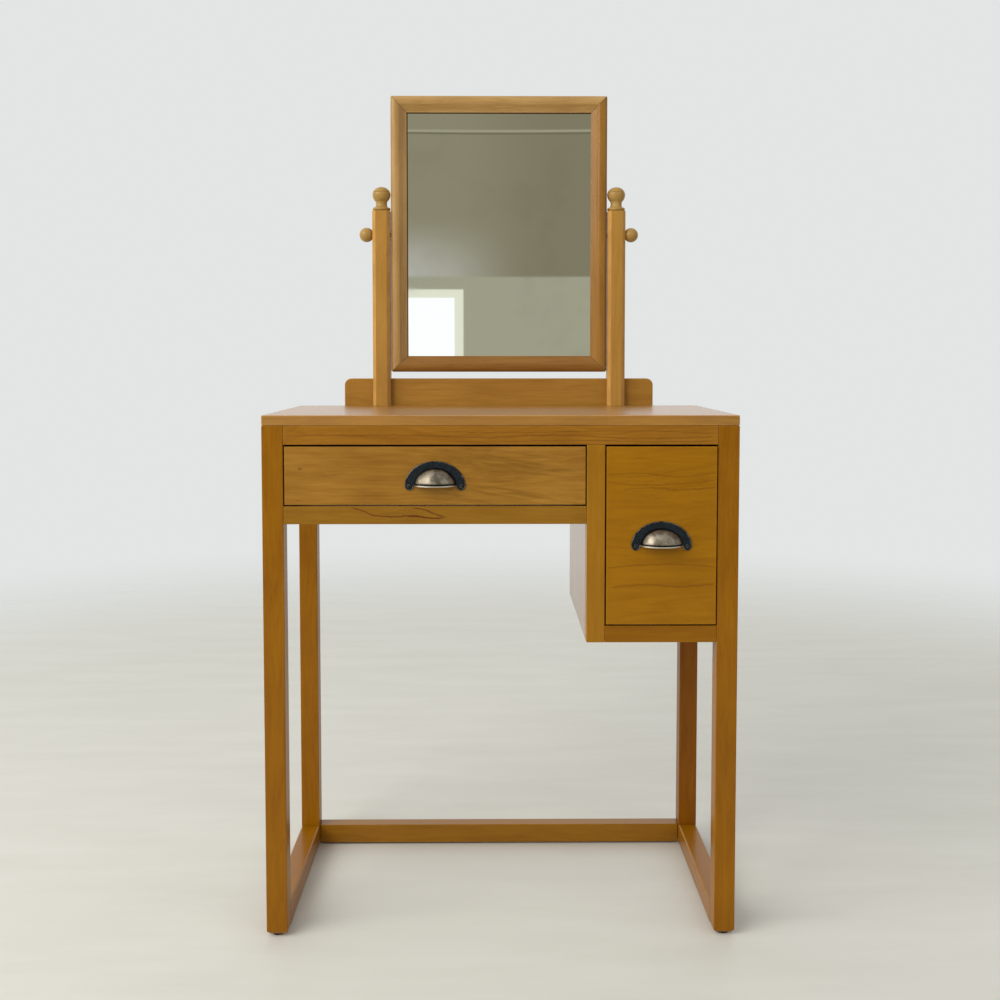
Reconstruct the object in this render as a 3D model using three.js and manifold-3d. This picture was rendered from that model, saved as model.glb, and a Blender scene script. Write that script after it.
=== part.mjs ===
// Vanity table with a swing mirror: an open wooden table with a wide shallow drawer, a narrow deep
// drawer in a pedestal, and a mirror that turns between two posts behind the table's back edge.
//
// Millimetres. +Z is up, the drawers face -Y, and the origin is on the floor below the middle of the
// whole object. Wood keeps GLUE_GAP where two boards meet and CUT_GAP where a piece sits in a cut.
import * as THREE from 'three';
import { mergeVertices } from 'three/addons/utils/BufferGeometryUtils.js';
import Module from 'manifold-3d';

const wasm = await Module();
wasm.setup();

// ---------------------------------------------------------------- driving dimensions

// The whole table
const TABLE_WIDTH = 650;
const TABLE_DEPTH = 340;
const TABLE_HEIGHT = 725;

// Gaps
const GLUE_GAP = 0.2;
const CUT_GAP = 0.3;
const RUNNING_GAP = 0.5;

// Legs, feet and the frame at the floor
const TOP_THICKNESS = 14;
const LEG_WIDTH = 29;
const LEG_DEPTH = 30;
const LEG_CHAMFER = 4.5;
const FOOT_RADIUS = 9;
const FOOT_HEIGHT = 3;
const FLOOR_RUNNER_HEIGHT = 31;
const STRETCHER_HEIGHT = 30;
const STRETCHER_THICKNESS = 24;
const STRETCHER_SETBACK = 5;

// Rails and stile of the front
const RAIL_THICKNESS = 25;
const TOP_RAIL_HEIGHT = 26;
const DRAWER_RAIL_HEIGHT = 24.5;
const PEDESTAL_RAIL_HEIGHT = 23;
const STILE_WIDTH = 25;
const SHALLOW_OPENING_HEIGHT = 84;
const DEEP_OPENING_HEIGHT = 249;
const DEEP_OPENING_WIDTH = 154;

// Panels
const SIDE_PANEL_THICKNESS = 16;
const SIDE_PANEL_INSET = 4;
const INNER_PANEL_THICKNESS = 15;
const APRON_THICKNESS = 18;

// Drawers
const DRAWER_SIDE_GAP = 1.8;
const DRAWER_BOTTOM_GAP = 2.3;
const DRAWER_TOP_GAP = 2.6;
const DRAWER_FRONT_THICKNESS = 18;
const DEEP_DRAWER_PROUD = 1.5;
const DRAWER_SIDE_THICKNESS = 12;
const DRAWER_BOX_INSET = 2;
const SHALLOW_BOX_HEIGHT = 66;
const DEEP_BOX_HEIGHT = 205;
const DRAWER_BACK_CLEARANCE = 8;
const DRAWER_BOTTOM_THICKNESS = 5;
const GROOVE_DEPTH = 5;
const GROOVE_RISE = 8;
const DRAWER_RUNNER_WIDTH = 20;
const DRAWER_RUNNER_HEIGHT = 16;

// Cup pulls: z is counted from the lip of the cup
const PULL_HALF_WIDTH = 41.2;
const PULL_CROWN = 34;
const EAR_RADIUS = 6;
const FLANGE_THICKNESS = 1.8;
const CUP_HALF_WIDTH = 29;
const CUP_HEIGHT = 25;
const CUP_REACH = 21;
const CUP_WALL = 1.8;
const PULL_SCREW_RADIUS = 1.7;
const PULL_SCREW_HEAD_RADIUS = 3.2;
const PULL_SCREW_HEAD_HEIGHT = 1.6;
const PULL_SCREW_LENGTH = 14;

// Mirror stand
const POST_WIDTH = 29;
const POST_CHAMFER = 5.4;
const POST_RISE = 317.5;
const POST_DROP = 125;
const STAND_RAIL_LENGTH = 509;
const STAND_RAIL_HEIGHT = 48;
const STAND_RAIL_THICKNESS = 15;
const STAND_RAIL_TOP_RADIUS = 11;
const STAND_RAIL_BOTTOM_RADIUS = 3;
// how far the rail's foot hangs below the table's surface
const STAND_RAIL_DROP = 4;
const POST_SCREW_RADIUS = 3;
const POST_SCREW_HEAD_RADIUS = 6.5;
const POST_SCREW_HEAD_HEIGHT = 4;
const POST_SCREW_BITE = 13;
const POST_SCREW_SPACING = 62;

// Finials: heights are counted from the top of the post
const FINIAL_HEIGHT = 39.5;
const FINIAL_EQUATOR = 26.9;
const FINIAL_BALL_RADIUS = 14.7;
const FINIAL_BALL_DROP = 15;
const FINIAL_NECK_RADIUS = 9;
const FINIAL_NECK_HEIGHT = 12.5;
const FINIAL_BEAD_RADIUS = 14.6;
const FINIAL_BEAD_HEIGHT = 5.8;
const FINIAL_TENON_RADIUS = 5;
const FINIAL_TENON_LENGTH = 18;

// Mirror
const MIRROR_WIDTH = 353;
const MIRROR_HEIGHT = 448;
const MIRROR_SIDE_CLEARANCE = 1.2;
const PIVOT_RISE = 279;
const FRAME_MEMBER_WIDTH = 26;
const FRAME_THICKNESS = 22;
const FRAME_INNER_THICKNESS = 13;
const CROWN_WIDTH = 18;
const CROWN_RISE = 5;
// where on its arc the crown turns into the slope
const CROWN_END_ANGLE = Math.PI / 3;
const REBATE_WIDTH = 8;
const REBATE_DEPTH = 10.5;
const GLASS_THICKNESS = 3;
const BACKING_THICKNESS = 3;

// Knobs and their studs, the pivot of the mirror
const KNOB_RADIUS = 11.8;
const KNOB_FLAT = 9.4;
const KNOB_POST_GAP = 0.5;
const STUD_RADIUS = 3;
const STUD_BORE_RADIUS = 3.4;
const STUD_IN_KNOB = 12;
const STUD_IN_FRAME = 12;

// Fineness of round shapes
const ROUND_SEGMENTS = 20;
const SMALL_ROUND_SEGMENTS = 12;
const CUP_SEGMENTS = 28;
const CORNER_SEGMENTS = 6;

// ---------------------------------------------------------------- derived places

const half = (size) => size / 2;
const legInner = half(TABLE_WIDTH) - LEG_WIDTH;
const legFoot = FOOT_HEIGHT;
const topUnderside = TABLE_HEIGHT - TOP_THICKNESS;
const topRailUnderside = topUnderside - TOP_RAIL_HEIGHT;
const drawerRailTop = topRailUnderside - SHALLOW_OPENING_HEIGHT;
const drawerRailUnderside = drawerRailTop - DRAWER_RAIL_HEIGHT;
const pedestalRailTop = topRailUnderside - DEEP_OPENING_HEIGHT;
const pedestalUnderside = pedestalRailTop - PEDESTAL_RAIL_HEIGHT;
const stileRight = legInner - DEEP_OPENING_WIDTH;
const stileLeft = stileRight - STILE_WIDTH;
const panelOuter = half(TABLE_WIDTH) - SIDE_PANEL_INSET;
const panelInner = panelOuter - SIDE_PANEL_THICKNESS;

// The table stands from y = 0, its front face, to y = TABLE_DEPTH. The table group then moves so
// that the origin is below the middle of everything from the cup pull to the back of the posts.
const apronFront = TABLE_DEPTH - APRON_THICKNESS;
const rearLegFront = TABLE_DEPTH - LEG_DEPTH;
const postFront = TABLE_DEPTH + GLUE_GAP;
const postBack = postFront + POST_WIDTH;
const screwHeadBack = postBack + GLUE_GAP + POST_SCREW_HEAD_HEIGHT;
const pullFront = -DEEP_DRAWER_PROUD - GLUE_GAP - CUP_REACH;
const tableShift = -half(pullFront + screwHeadBack);

const postInner = half(MIRROR_WIDTH) + MIRROR_SIDE_CLEARANCE;
const postCentre = postInner + half(POST_WIDTH);
const postMiddle = postFront + half(POST_WIDTH);
const pivotHeight = TABLE_HEIGHT + PIVOT_RISE;

// ---------------------------------------------------------------- materials

const finish = (color, roughness, metalness = 0) =>
  new THREE.MeshStandardMaterial({ color, roughness, metalness });

const frontWood = finish(0x9a6722, 0.38);
const topWood = finish(0xa06c30, 0.3);
const legWood = finish(0x8a5a14, 0.4);
const standWood = finish(0xac7e3e, 0.42);
const turnedWood = finish(0xb08a50, 0.4);
const boxWood = finish(0xb89a6a, 0.7);
const plywood = finish(0xb59468, 0.8);
const antiqueIron = finish(0x2a2f33, 0.45, 0.9);
const screwSteel = finish(0x8a8478, 0.35, 1);
const mirrorGlass = finish(0xd8dcdc, 0.03, 1);
const footRubber = finish(0x1d1a18, 0.85);

// ---------------------------------------------------------------- building helpers

// One named mesh at a place in its group.
function addMesh(group, name, geometry, material, place = [0, 0, 0]) {
  const mesh = new THREE.Mesh(geometry, material);
  mesh.name = name;
  mesh.position.set(...place);
  group.add(mesh);
  return mesh;
}

// A straight board between two values on each axis.
function addBoard(group, name, material, x, y, z) {
  const size = [x, y, z].map(([low, high]) => high - low);
  const centre = [x, y, z].map(([low, high]) => half(low + high));
  return addMesh(group, name, new THREE.BoxGeometry(...size), material, centre);
}

// A geometry as a solid, placed by position and rotation.
function toSolid(geometry, position = [0, 0, 0], rotation = [0, 0, 0]) {
  const placed = geometry.clone();
  placed.applyMatrix4(new THREE.Matrix4().makeRotationFromEuler(new THREE.Euler(...rotation)));
  placed.translate(...position);
  placed.deleteAttribute('normal');
  placed.deleteAttribute('uv');
  const merged = mergeVertices(placed);
  const vertProperties = new Float32Array(merged.attributes.position.array);
  const triVerts = new Uint32Array(merged.index.array);
  return new wasm.Manifold(new wasm.Mesh({ numProp: 3, vertProperties, triVerts }));
}

// A solid back as a geometry.
function toGeometry(solid) {
  const { vertProperties, triVerts } = solid.getMesh();
  const geometry = new THREE.BufferGeometry();
  geometry.setAttribute('position', new THREE.BufferAttribute(vertProperties, 3));
  geometry.setIndex(new THREE.BufferAttribute(triVerts, 1));
  geometry.computeVertexNormals();
  return geometry;
}

// A box solid between two values on each axis.
function boxSolid(x, y, z) {
  const size = [x, y, z].map(([low, high]) => high - low);
  const centre = [x, y, z].map(([low, high]) => half(low + high));
  return toSolid(new THREE.BoxGeometry(...size), centre);
}

// A round bar solid along 'x', 'y' or 'z', from start over length.
function barSolid(axis, radius, start, length, segments = SMALL_ROUND_SEGMENTS) {
  const turn = { x: [0, 0, half(Math.PI)], y: [0, 0, 0], z: [half(Math.PI), 0, 0] }[axis];
  const middle = [...start];
  middle['xyz'.indexOf(axis)] += half(length);
  return toSolid(new THREE.CylinderGeometry(radius, radius, length, segments), middle, turn);
}

// A closed outline of [across, up] points, extruded by length along +Y from y = 0.
function extrudeAlongY(points, length) {
  const shape = new THREE.Shape(points.map(([across, up]) => new THREE.Vector2(across, up)));
  const geometry = new THREE.ExtrudeGeometry(shape, { depth: length, bevelEnabled: false });
  geometry.rotateX(half(Math.PI));
  geometry.translate(0, length, 0);
  return geometry;
}

// A profile of [radius, height] points turned about the Z axis.
function turnedAboutZ(profile, segments = ROUND_SEGMENTS) {
  const points = profile.map(([radius, height]) => new THREE.Vector2(radius, height));
  const geometry = new THREE.LatheGeometry(points, segments);
  geometry.rotateX(half(Math.PI));
  return geometry;
}

// Points on an arc about a centre, from one angle to another, in radians.
function arc(centreX, centreY, radiusX, radiusY, from, to, steps) {
  return Array.from({ length: steps + 1 }, (_, step) => {
    const angle = from + ((to - from) * step) / steps;
    return [centreX + radiusX * Math.cos(angle), centreY + radiusY * Math.sin(angle)];
  });
}

// A rectangle about the origin with the edges along its length cut off, as an outline.
function chamferedSquare(width, depth, chamfer) {
  const x = half(width);
  const y = half(depth);
  return [
    [-x + chamfer, -y], [x - chamfer, -y], [x, -y + chamfer], [x, y - chamfer],
    [x - chamfer, y], [-x + chamfer, y], [-x, y - chamfer], [-x, -y + chamfer],
  ];
}

// A screw that points along +Y: its shank from y = 0 to length, its pan head behind y = 0.
function screwGeometry(shankRadius, length, headRadius, headHeight) {
  const tipStart = length - 2 * shankRadius;
  const geometry = turnedAboutZ([
    [0, -headHeight], [headRadius - half(headHeight), -headHeight],
    [headRadius, -half(headHeight)], [headRadius, 0],
    [shankRadius, 0], [shankRadius, tipStart], [0, length],
  ], SMALL_ROUND_SEGMENTS);
  geometry.rotateX(-half(Math.PI));
  return geometry;
}

// ---------------------------------------------------------------- table

// A leg: its lower end is chamfered all round, above the foot pad.
function legGeometry() {
  const height = topUnderside - GLUE_GAP - legFoot;
  const outline = (width) => [
    [-half(width) + LEG_CHAMFER, 0], [half(width) - LEG_CHAMFER, 0], [half(width), LEG_CHAMFER],
    [half(width), height], [-half(width), height], [-half(width), LEG_CHAMFER],
  ];
  const across = toSolid(extrudeAlongY(outline(LEG_WIDTH), LEG_DEPTH), [0, -half(LEG_DEPTH), 0]);
  const along = toSolid(
    extrudeAlongY(outline(LEG_DEPTH), LEG_WIDTH).rotateZ(half(Math.PI)),
    [half(LEG_WIDTH), 0, 0],
  );
  return toGeometry(across.intersect(along));
}

function addLegsAndFloorFrame(table) {
  const legX = half(TABLE_WIDTH - LEG_WIDTH);
  const rows = { front: half(LEG_DEPTH), rear: TABLE_DEPTH - half(LEG_DEPTH) };
  for (const [side, sign] of [['left', -1], ['right', 1]]) {
    for (const [row, y] of Object.entries(rows)) {
      addMesh(table, `${side}_${row}_leg`, legGeometry(), legWood, [sign * legX, y, legFoot]);
      const pad = new THREE.CylinderGeometry(
        FOOT_RADIUS, FOOT_RADIUS, FOOT_HEIGHT - GLUE_GAP, ROUND_SEGMENTS);
      pad.rotateX(half(Math.PI));
      const place = [sign * legX, y, half(FOOT_HEIGHT - GLUE_GAP)];
      addMesh(table, `${side}_${row}_foot_pad`, pad, footRubber, place);
    }
    addBoard(table, `${side}_floor_runner`, legWood,
      [sign * legX - half(LEG_WIDTH), sign * legX + half(LEG_WIDTH)],
      [LEG_DEPTH + GLUE_GAP, rearLegFront - GLUE_GAP],
      [legFoot, legFoot + FLOOR_RUNNER_HEIGHT]);
  }
  const stretcherFront = rearLegFront + STRETCHER_SETBACK;
  addBoard(table, 'rear_stretcher', legWood,
    [-legInner + GLUE_GAP, legInner - GLUE_GAP],
    [stretcherFront, stretcherFront + STRETCHER_THICKNESS],
    [legFoot, legFoot + STRETCHER_HEIGHT]);
}

function addFrontFrame(table) {
  const thickness = [0, RAIL_THICKNESS];
  addBoard(table, 'table_top', topWood,
    [-half(TABLE_WIDTH), half(TABLE_WIDTH)], [0, TABLE_DEPTH], [topUnderside, TABLE_HEIGHT]);
  addBoard(table, 'front_top_rail', frontWood,
    [-legInner + GLUE_GAP, legInner - GLUE_GAP], thickness,
    [topRailUnderside, topUnderside - GLUE_GAP]);
  addBoard(table, 'drawer_rail', frontWood,
    [-legInner + GLUE_GAP, stileLeft - GLUE_GAP], thickness,
    [drawerRailUnderside, drawerRailTop]);
  addBoard(table, 'divider_stile', frontWood,
    [stileLeft, stileRight], thickness, [pedestalUnderside, topRailUnderside - GLUE_GAP]);
  addBoard(table, 'pedestal_bottom_rail', frontWood,
    [stileRight + GLUE_GAP, legInner - GLUE_GAP], thickness, [pedestalUnderside, pedestalRailTop]);
}

// The apron across the back, with a blind hole for each post screw.
function apronGeometry() {
  const bottom = drawerRailUnderside;
  let apron = boxSolid([-legInner + GLUE_GAP, legInner - GLUE_GAP], [apronFront, TABLE_DEPTH],
    [bottom, topUnderside - GLUE_GAP]);
  const depth = POST_SCREW_BITE + CUT_GAP;
  for (const sign of [-1, 1]) {
    for (const height of postScrewHeights()) {
      const start = [sign * postCentre, TABLE_DEPTH - depth, height];
      apron = apron.subtract(barSolid('y', POST_SCREW_RADIUS + CUT_GAP, start, depth * 2));
    }
  }
  return toGeometry(apron);
}

function addPanels(table) {
  const betweenLegs = [LEG_DEPTH + GLUE_GAP, rearLegFront - GLUE_GAP];
  addBoard(table, 'left_side_panel', legWood, [-panelOuter, -panelInner], betweenLegs,
    [drawerRailUnderside, topUnderside - GLUE_GAP]);
  addBoard(table, 'right_side_panel', legWood, [panelInner, panelOuter], betweenLegs,
    [pedestalUnderside, topUnderside - GLUE_GAP]);
  addBoard(table, 'pedestal_inner_panel', legWood,
    [stileLeft, stileLeft + INNER_PANEL_THICKNESS],
    [RAIL_THICKNESS + GLUE_GAP, apronFront - GLUE_GAP],
    [pedestalUnderside, topUnderside - GLUE_GAP]);
  addMesh(table, 'back_apron', apronGeometry(), legWood);
  addBoard(table, 'pedestal_back_panel', legWood,
    [stileLeft, legInner - GLUE_GAP], [apronFront, TABLE_DEPTH],
    [pedestalUnderside, drawerRailUnderside - GLUE_GAP]);
}

// Runners from the front rail to the back panel, level with the top of the rail.
function addDrawerRunners(table) {
  const length = [RAIL_THICKNESS + GLUE_GAP, apronFront - GLUE_GAP];
  const rightOf = (left) => [left + GLUE_GAP, left + DRAWER_RUNNER_WIDTH];
  const leftOf = (right) => [right - DRAWER_RUNNER_WIDTH, right - GLUE_GAP];
  const panelRight = stileLeft + INNER_PANEL_THICKNESS;
  const runners = {
    shallow_drawer_left_runner: [rightOf(-legInner), drawerRailTop],
    shallow_drawer_right_runner: [leftOf(stileLeft), drawerRailTop],
    // this one reaches past the stile, which stands proud of the panel
    deep_drawer_left_runner: [[panelRight + GLUE_GAP, rightOf(stileRight)[1]], pedestalRailTop],
    deep_drawer_right_runner: [leftOf(legInner), pedestalRailTop],
  };
  for (const [name, [across, top]] of Object.entries(runners)) {
    addBoard(table, name, boxWood, across, length, [top - DRAWER_RUNNER_HEIGHT, top]);
  }
}

// ---------------------------------------------------------------- cup pull

// The flange: a half ellipse with a round ear hanging at each end, as an outline about x = 0.
function flangeOutline() {
  const earCentre = PULL_HALF_WIDTH - EAR_RADIUS;
  const earArc = arc(earCentre, 0, EAR_RADIUS, EAR_RADIUS, -Math.PI, 0, CORNER_SEGMENTS);
  const crown = arc(0, 0, PULL_HALF_WIDTH, PULL_CROWN, 0, Math.PI, CORNER_SEGMENTS * 4);
  const leftEar = arc(-earCentre, 0, EAR_RADIUS, EAR_RADIUS, -Math.PI, 0, CORNER_SEGMENTS);
  return [...earArc, ...crown.slice(1, -1), ...leftEar];
}

// The cup's ellipsoid about the middle of its lip, taken in by inset on every side.
function cupEllipsoid(inset) {
  const ball = new THREE.SphereGeometry(1, CUP_SEGMENTS, ROUND_SEGMENTS);
  return toSolid(ball.scale(CUP_HALF_WIDTH - inset, CUP_REACH - inset, CUP_HEIGHT - inset));
}

// The pull: its back is at y = 0, its lip at z = 0, and its cup reaches to -y.
function cupPullGeometry() {
  const flange = toSolid(
    extrudeAlongY(flangeOutline(), FLANGE_THICKNESS), [0, -FLANGE_THICKNESS, 0]);
  const wide = 2 * PULL_HALF_WIDTH;
  const aboveLip = boxSolid([-wide, wide], [-wide, 0], [0, wide]);
  const cup = cupEllipsoid(0).intersect(aboveLip);
  let pull = flange.add(cup).subtract(cupEllipsoid(CUP_WALL));
  for (const x of pullScrewPlaces()) {
    const start = [x, -FLANGE_THICKNESS * 2, 0];
    const hole = barSolid('y', PULL_SCREW_RADIUS + CUT_GAP, start, FLANGE_THICKNESS * 3);
    pull = pull.subtract(hole);
  }
  return toGeometry(pull);
}

function pullScrewPlaces() {
  return [-PULL_HALF_WIDTH + EAR_RADIUS, PULL_HALF_WIDTH - EAR_RADIUS];
}

// ---------------------------------------------------------------- drawers

// A drawer front with blind holes for the pull's screws, its front face at y = 0.
function drawerFrontGeometry(width, height) {
  let front = boxSolid(
    [-half(width), half(width)], [0, DRAWER_FRONT_THICKNESS], [-half(height), half(height)]);
  for (const x of pullScrewPlaces()) {
    const depth = PULL_SCREW_LENGTH - FLANGE_THICKNESS + CUT_GAP;
    const start = [x, -depth, pullLipHeight()];
    front = front.subtract(barSolid('y', PULL_SCREW_RADIUS + CUT_GAP, start, depth * 2));
  }
  return toGeometry(front);
}

// The lip's height over the middle of the drawer front, which centres the pull there.
function pullLipHeight() {
  return -half(PULL_CROWN - EAR_RADIUS);
}

// A drawer side with a groove for the bottom, its grooved face towards +X, its foot at z = 0.
function drawerSideGeometry(length, height) {
  const grooveTop = GROOVE_RISE + DRAWER_BOTTOM_THICKNESS + 2 * CUT_GAP;
  const outline = [
    [0, 0], [DRAWER_SIDE_THICKNESS, 0], [DRAWER_SIDE_THICKNESS, GROOVE_RISE],
    [DRAWER_SIDE_THICKNESS - GROOVE_DEPTH, GROOVE_RISE],
    [DRAWER_SIDE_THICKNESS - GROOVE_DEPTH, grooveTop],
    [DRAWER_SIDE_THICKNESS, grooveTop], [DRAWER_SIDE_THICKNESS, height], [0, height],
  ];
  return extrudeAlongY(outline, length);
}

// One drawer: x is the opening it fills, faceY the plane of its front face.
function addDrawer(table, prefix, { x, sill, openingHeight, faceY, boxHeight }) {
  const drawer = new THREE.Group();
  table.add(drawer);
  const frontX = [x[0] + DRAWER_SIDE_GAP, x[1] - DRAWER_SIDE_GAP];
  const frontZ = [sill + DRAWER_BOTTOM_GAP, sill + openingHeight - DRAWER_TOP_GAP];
  const middle = half(frontX[0] + frontX[1]);
  drawer.position.set(middle, faceY, half(frontZ[0] + frontZ[1]));

  const width = frontX[1] - frontX[0];
  const height = frontZ[1] - frontZ[0];
  addMesh(drawer, `${prefix}_front`, drawerFrontGeometry(width, height), frontWood);

  const boxFoot = sill + RUNNING_GAP - drawer.position.z;
  const boxHalf = half(width) - DRAWER_BOX_INSET;
  const boxStart = DRAWER_FRONT_THICKNESS + GLUE_GAP;
  const boxEnd = apronFront - DRAWER_BACK_CLEARANCE - faceY;
  const sideLength = boxEnd - boxStart;
  const leftSide = drawerSideGeometry(sideLength, boxHeight);
  addMesh(drawer, `${prefix}_left_side`, leftSide, boxWood, [-boxHalf, boxStart, boxFoot]);
  const rightSide = drawerSideGeometry(sideLength, boxHeight).rotateZ(Math.PI);
  addMesh(drawer, `${prefix}_right_side`, rightSide, boxWood, [boxHalf, boxEnd, boxFoot]);

  const innerHalf = boxHalf - DRAWER_SIDE_THICKNESS;
  const bottomHalf = innerHalf + GROOVE_DEPTH - CUT_GAP;
  const bottomZ = boxFoot + GROOVE_RISE + CUT_GAP;
  const bottomTop = bottomZ + DRAWER_BOTTOM_THICKNESS;
  addBoard(drawer, `${prefix}_bottom`, plywood,
    [-bottomHalf, bottomHalf], [boxStart, boxEnd], [bottomZ, bottomTop]);
  addBoard(drawer, `${prefix}_back`, boxWood,
    [-innerHalf + GLUE_GAP, innerHalf - GLUE_GAP], [boxEnd - DRAWER_SIDE_THICKNESS, boxEnd],
    [bottomTop + GLUE_GAP, boxFoot + boxHeight]);

  const pullPlace = [0, -GLUE_GAP, pullLipHeight()];
  addMesh(drawer, `${prefix}_cup_pull`, cupPullGeometry(), antiqueIron, pullPlace);
  const headPlane = -FLANGE_THICKNESS - 2 * GLUE_GAP;
  pullScrewPlaces().forEach((screwX, index) => {
    const screw = screwGeometry(
      PULL_SCREW_RADIUS, PULL_SCREW_LENGTH, PULL_SCREW_HEAD_RADIUS, PULL_SCREW_HEAD_HEIGHT);
    const place = [screwX, headPlane, pullLipHeight()];
    addMesh(drawer, `${prefix}_pull_screw_${index + 1}`, screw, screwSteel, place);
  });
}

// ---------------------------------------------------------------- mirror stand

function postScrewHeights() {
  const lower = TABLE_HEIGHT - POST_DROP + half(POST_WIDTH);
  return [lower, lower + POST_SCREW_SPACING];
}

// A post with chamfered edges: a notch behind for the stand rail, a bore for the stud, a socket in
// its top for the finial's tenon and two holes for its screws. Its foot is at z = 0.
function postGeometry() {
  const height = POST_DROP + POST_RISE;
  const outline = chamferedSquare(POST_WIDTH, POST_WIDTH, POST_CHAMFER);
  const shape = new THREE.Shape(outline.map(([x, y]) => new THREE.Vector2(x, y)));
  let post = toSolid(new THREE.ExtrudeGeometry(shape, { depth: height, bevelEnabled: false }));
  const notchFront = half(POST_WIDTH) - STAND_RAIL_THICKNESS - CUT_GAP;
  const notchFoot = POST_DROP - STAND_RAIL_DROP;
  post = post.subtract(boxSolid([-POST_WIDTH, POST_WIDTH], [notchFront, POST_WIDTH],
    [notchFoot - CUT_GAP, notchFoot + STAND_RAIL_HEIGHT + CUT_GAP]));
  post = post.subtract(barSolid('x', STUD_BORE_RADIUS, [-POST_WIDTH, 0, POST_DROP + PIVOT_RISE],
    POST_WIDTH * 2, ROUND_SEGMENTS));
  const socketDepth = FINIAL_TENON_LENGTH + CUT_GAP;
  post = post.subtract(barSolid('z', FINIAL_TENON_RADIUS + CUT_GAP, [0, 0, height - socketDepth],
    socketDepth * 2));
  for (const screwHeight of postScrewHeights()) {
    const start = [0, -POST_WIDTH, screwHeight - TABLE_HEIGHT + POST_DROP];
    post = post.subtract(barSolid('y', POST_SCREW_RADIUS + CUT_GAP, start, POST_WIDTH * 2));
  }
  return toGeometry(post);
}

// A finial: tenon, bead, cove, neck and ball in one turning. z = 0 is the top of the post.
function finialGeometry() {
  const quarter = half(Math.PI);
  const beadHalf = half(FINIAL_BEAD_HEIGHT);
  const beadCentre = FINIAL_BEAD_RADIUS - beadHalf;
  const bead = arc(beadCentre, beadHalf + GLUE_GAP, beadHalf, beadHalf, -quarter, quarter,
    CORNER_SEGMENTS);
  const coveHeight = FINIAL_NECK_HEIGHT - FINIAL_BEAD_HEIGHT - GLUE_GAP;
  const cove = arc(beadCentre, FINIAL_NECK_HEIGHT, beadCentre - FINIAL_NECK_RADIUS, coveHeight,
    -quarter, -2 * quarter, CORNER_SEGMENTS);
  const neckAngle = -Math.acos(FINIAL_NECK_RADIUS / FINIAL_BALL_RADIUS);
  const underside = arc(0, FINIAL_EQUATOR, FINIAL_BALL_RADIUS, FINIAL_BALL_DROP, neckAngle, 0,
    CORNER_SEGMENTS);
  const dome = arc(0, FINIAL_EQUATOR, FINIAL_BALL_RADIUS, FINIAL_HEIGHT - FINIAL_EQUATOR, 0,
    quarter, CORNER_SEGMENTS);
  return turnedAboutZ([
    [0, -FINIAL_TENON_LENGTH], [FINIAL_TENON_RADIUS, -FINIAL_TENON_LENGTH],
    [FINIAL_TENON_RADIUS, GLUE_GAP], ...bead, ...cove.slice(1), ...underside,
    ...dome.slice(1, -1), [0, FINIAL_HEIGHT],
  ]);
}

function addMirrorStand(table) {
  const foot = TABLE_HEIGHT - POST_DROP;
  const postTop = TABLE_HEIGHT + POST_RISE;
  for (const [side, sign] of [['left', -1], ['right', 1]]) {
    const x = sign * postCentre;
    addMesh(table, `${side}_mirror_post`, postGeometry(), standWood, [x, postMiddle, foot]);
    addMesh(table, `${side}_finial`, finialGeometry(), turnedWood, [x, postMiddle, postTop]);
    postScrewHeights().forEach((height, index) => {
      const length = POST_WIDTH + 2 * GLUE_GAP + POST_SCREW_BITE;
      const screw = screwGeometry(
        POST_SCREW_RADIUS, length, POST_SCREW_HEAD_RADIUS, POST_SCREW_HEAD_HEIGHT);
      screw.rotateZ(Math.PI);
      const place = [x, postBack + GLUE_GAP, height];
      addMesh(table, `${side}_post_screw_${index + 1}`, screw, screwSteel, place);
    });
  }
  addMesh(table, 'stand_rail', standRailGeometry(), standWood,
    [0, postBack - STAND_RAIL_THICKNESS, TABLE_HEIGHT - STAND_RAIL_DROP]);
}

// The rail between the posts, with its foot at z = 0 and its front face at y = 0.
function standRailGeometry() {
  const x = half(STAND_RAIL_LENGTH);
  const low = STAND_RAIL_BOTTOM_RADIUS;
  const high = STAND_RAIL_TOP_RADIUS;
  const quarter = half(Math.PI);
  const corner = (centreX, centreZ, radius, from) =>
    arc(centreX, centreZ, radius, radius, from, from + quarter, CORNER_SEGMENTS);
  return extrudeAlongY([
    ...corner(x - low, low, low, -quarter),
    ...corner(x - high, STAND_RAIL_HEIGHT - high, high, 0),
    ...corner(-x + high, STAND_RAIL_HEIGHT - high, high, quarter),
    ...corner(-x + low, low, low, 2 * quarter),
  ], STAND_RAIL_THICKNESS);
}

// ---------------------------------------------------------------- mirror

// The frame's moulding as [in from the outer edge, forward from the back] points: a round crown
// near the outer edge, a slope down to the glass, and a rebate behind for glass and backing.
function mouldingOutline() {
  const inner = FRAME_MEMBER_WIDTH;
  const rebate = inner - REBATE_WIDTH;
  const crownHalf = half(CROWN_WIDTH);
  const crown = arc(crownHalf, FRAME_THICKNESS - CROWN_RISE, crownHalf, CROWN_RISE,
    CROWN_END_ANGLE, Math.PI, CORNER_SEGMENTS);
  return [
    [0, 0], [rebate, 0], [rebate, REBATE_DEPTH], [inner, REBATE_DEPTH],
    [inner, FRAME_INNER_THICKNESS], ...crown,
  ];
}

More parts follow.
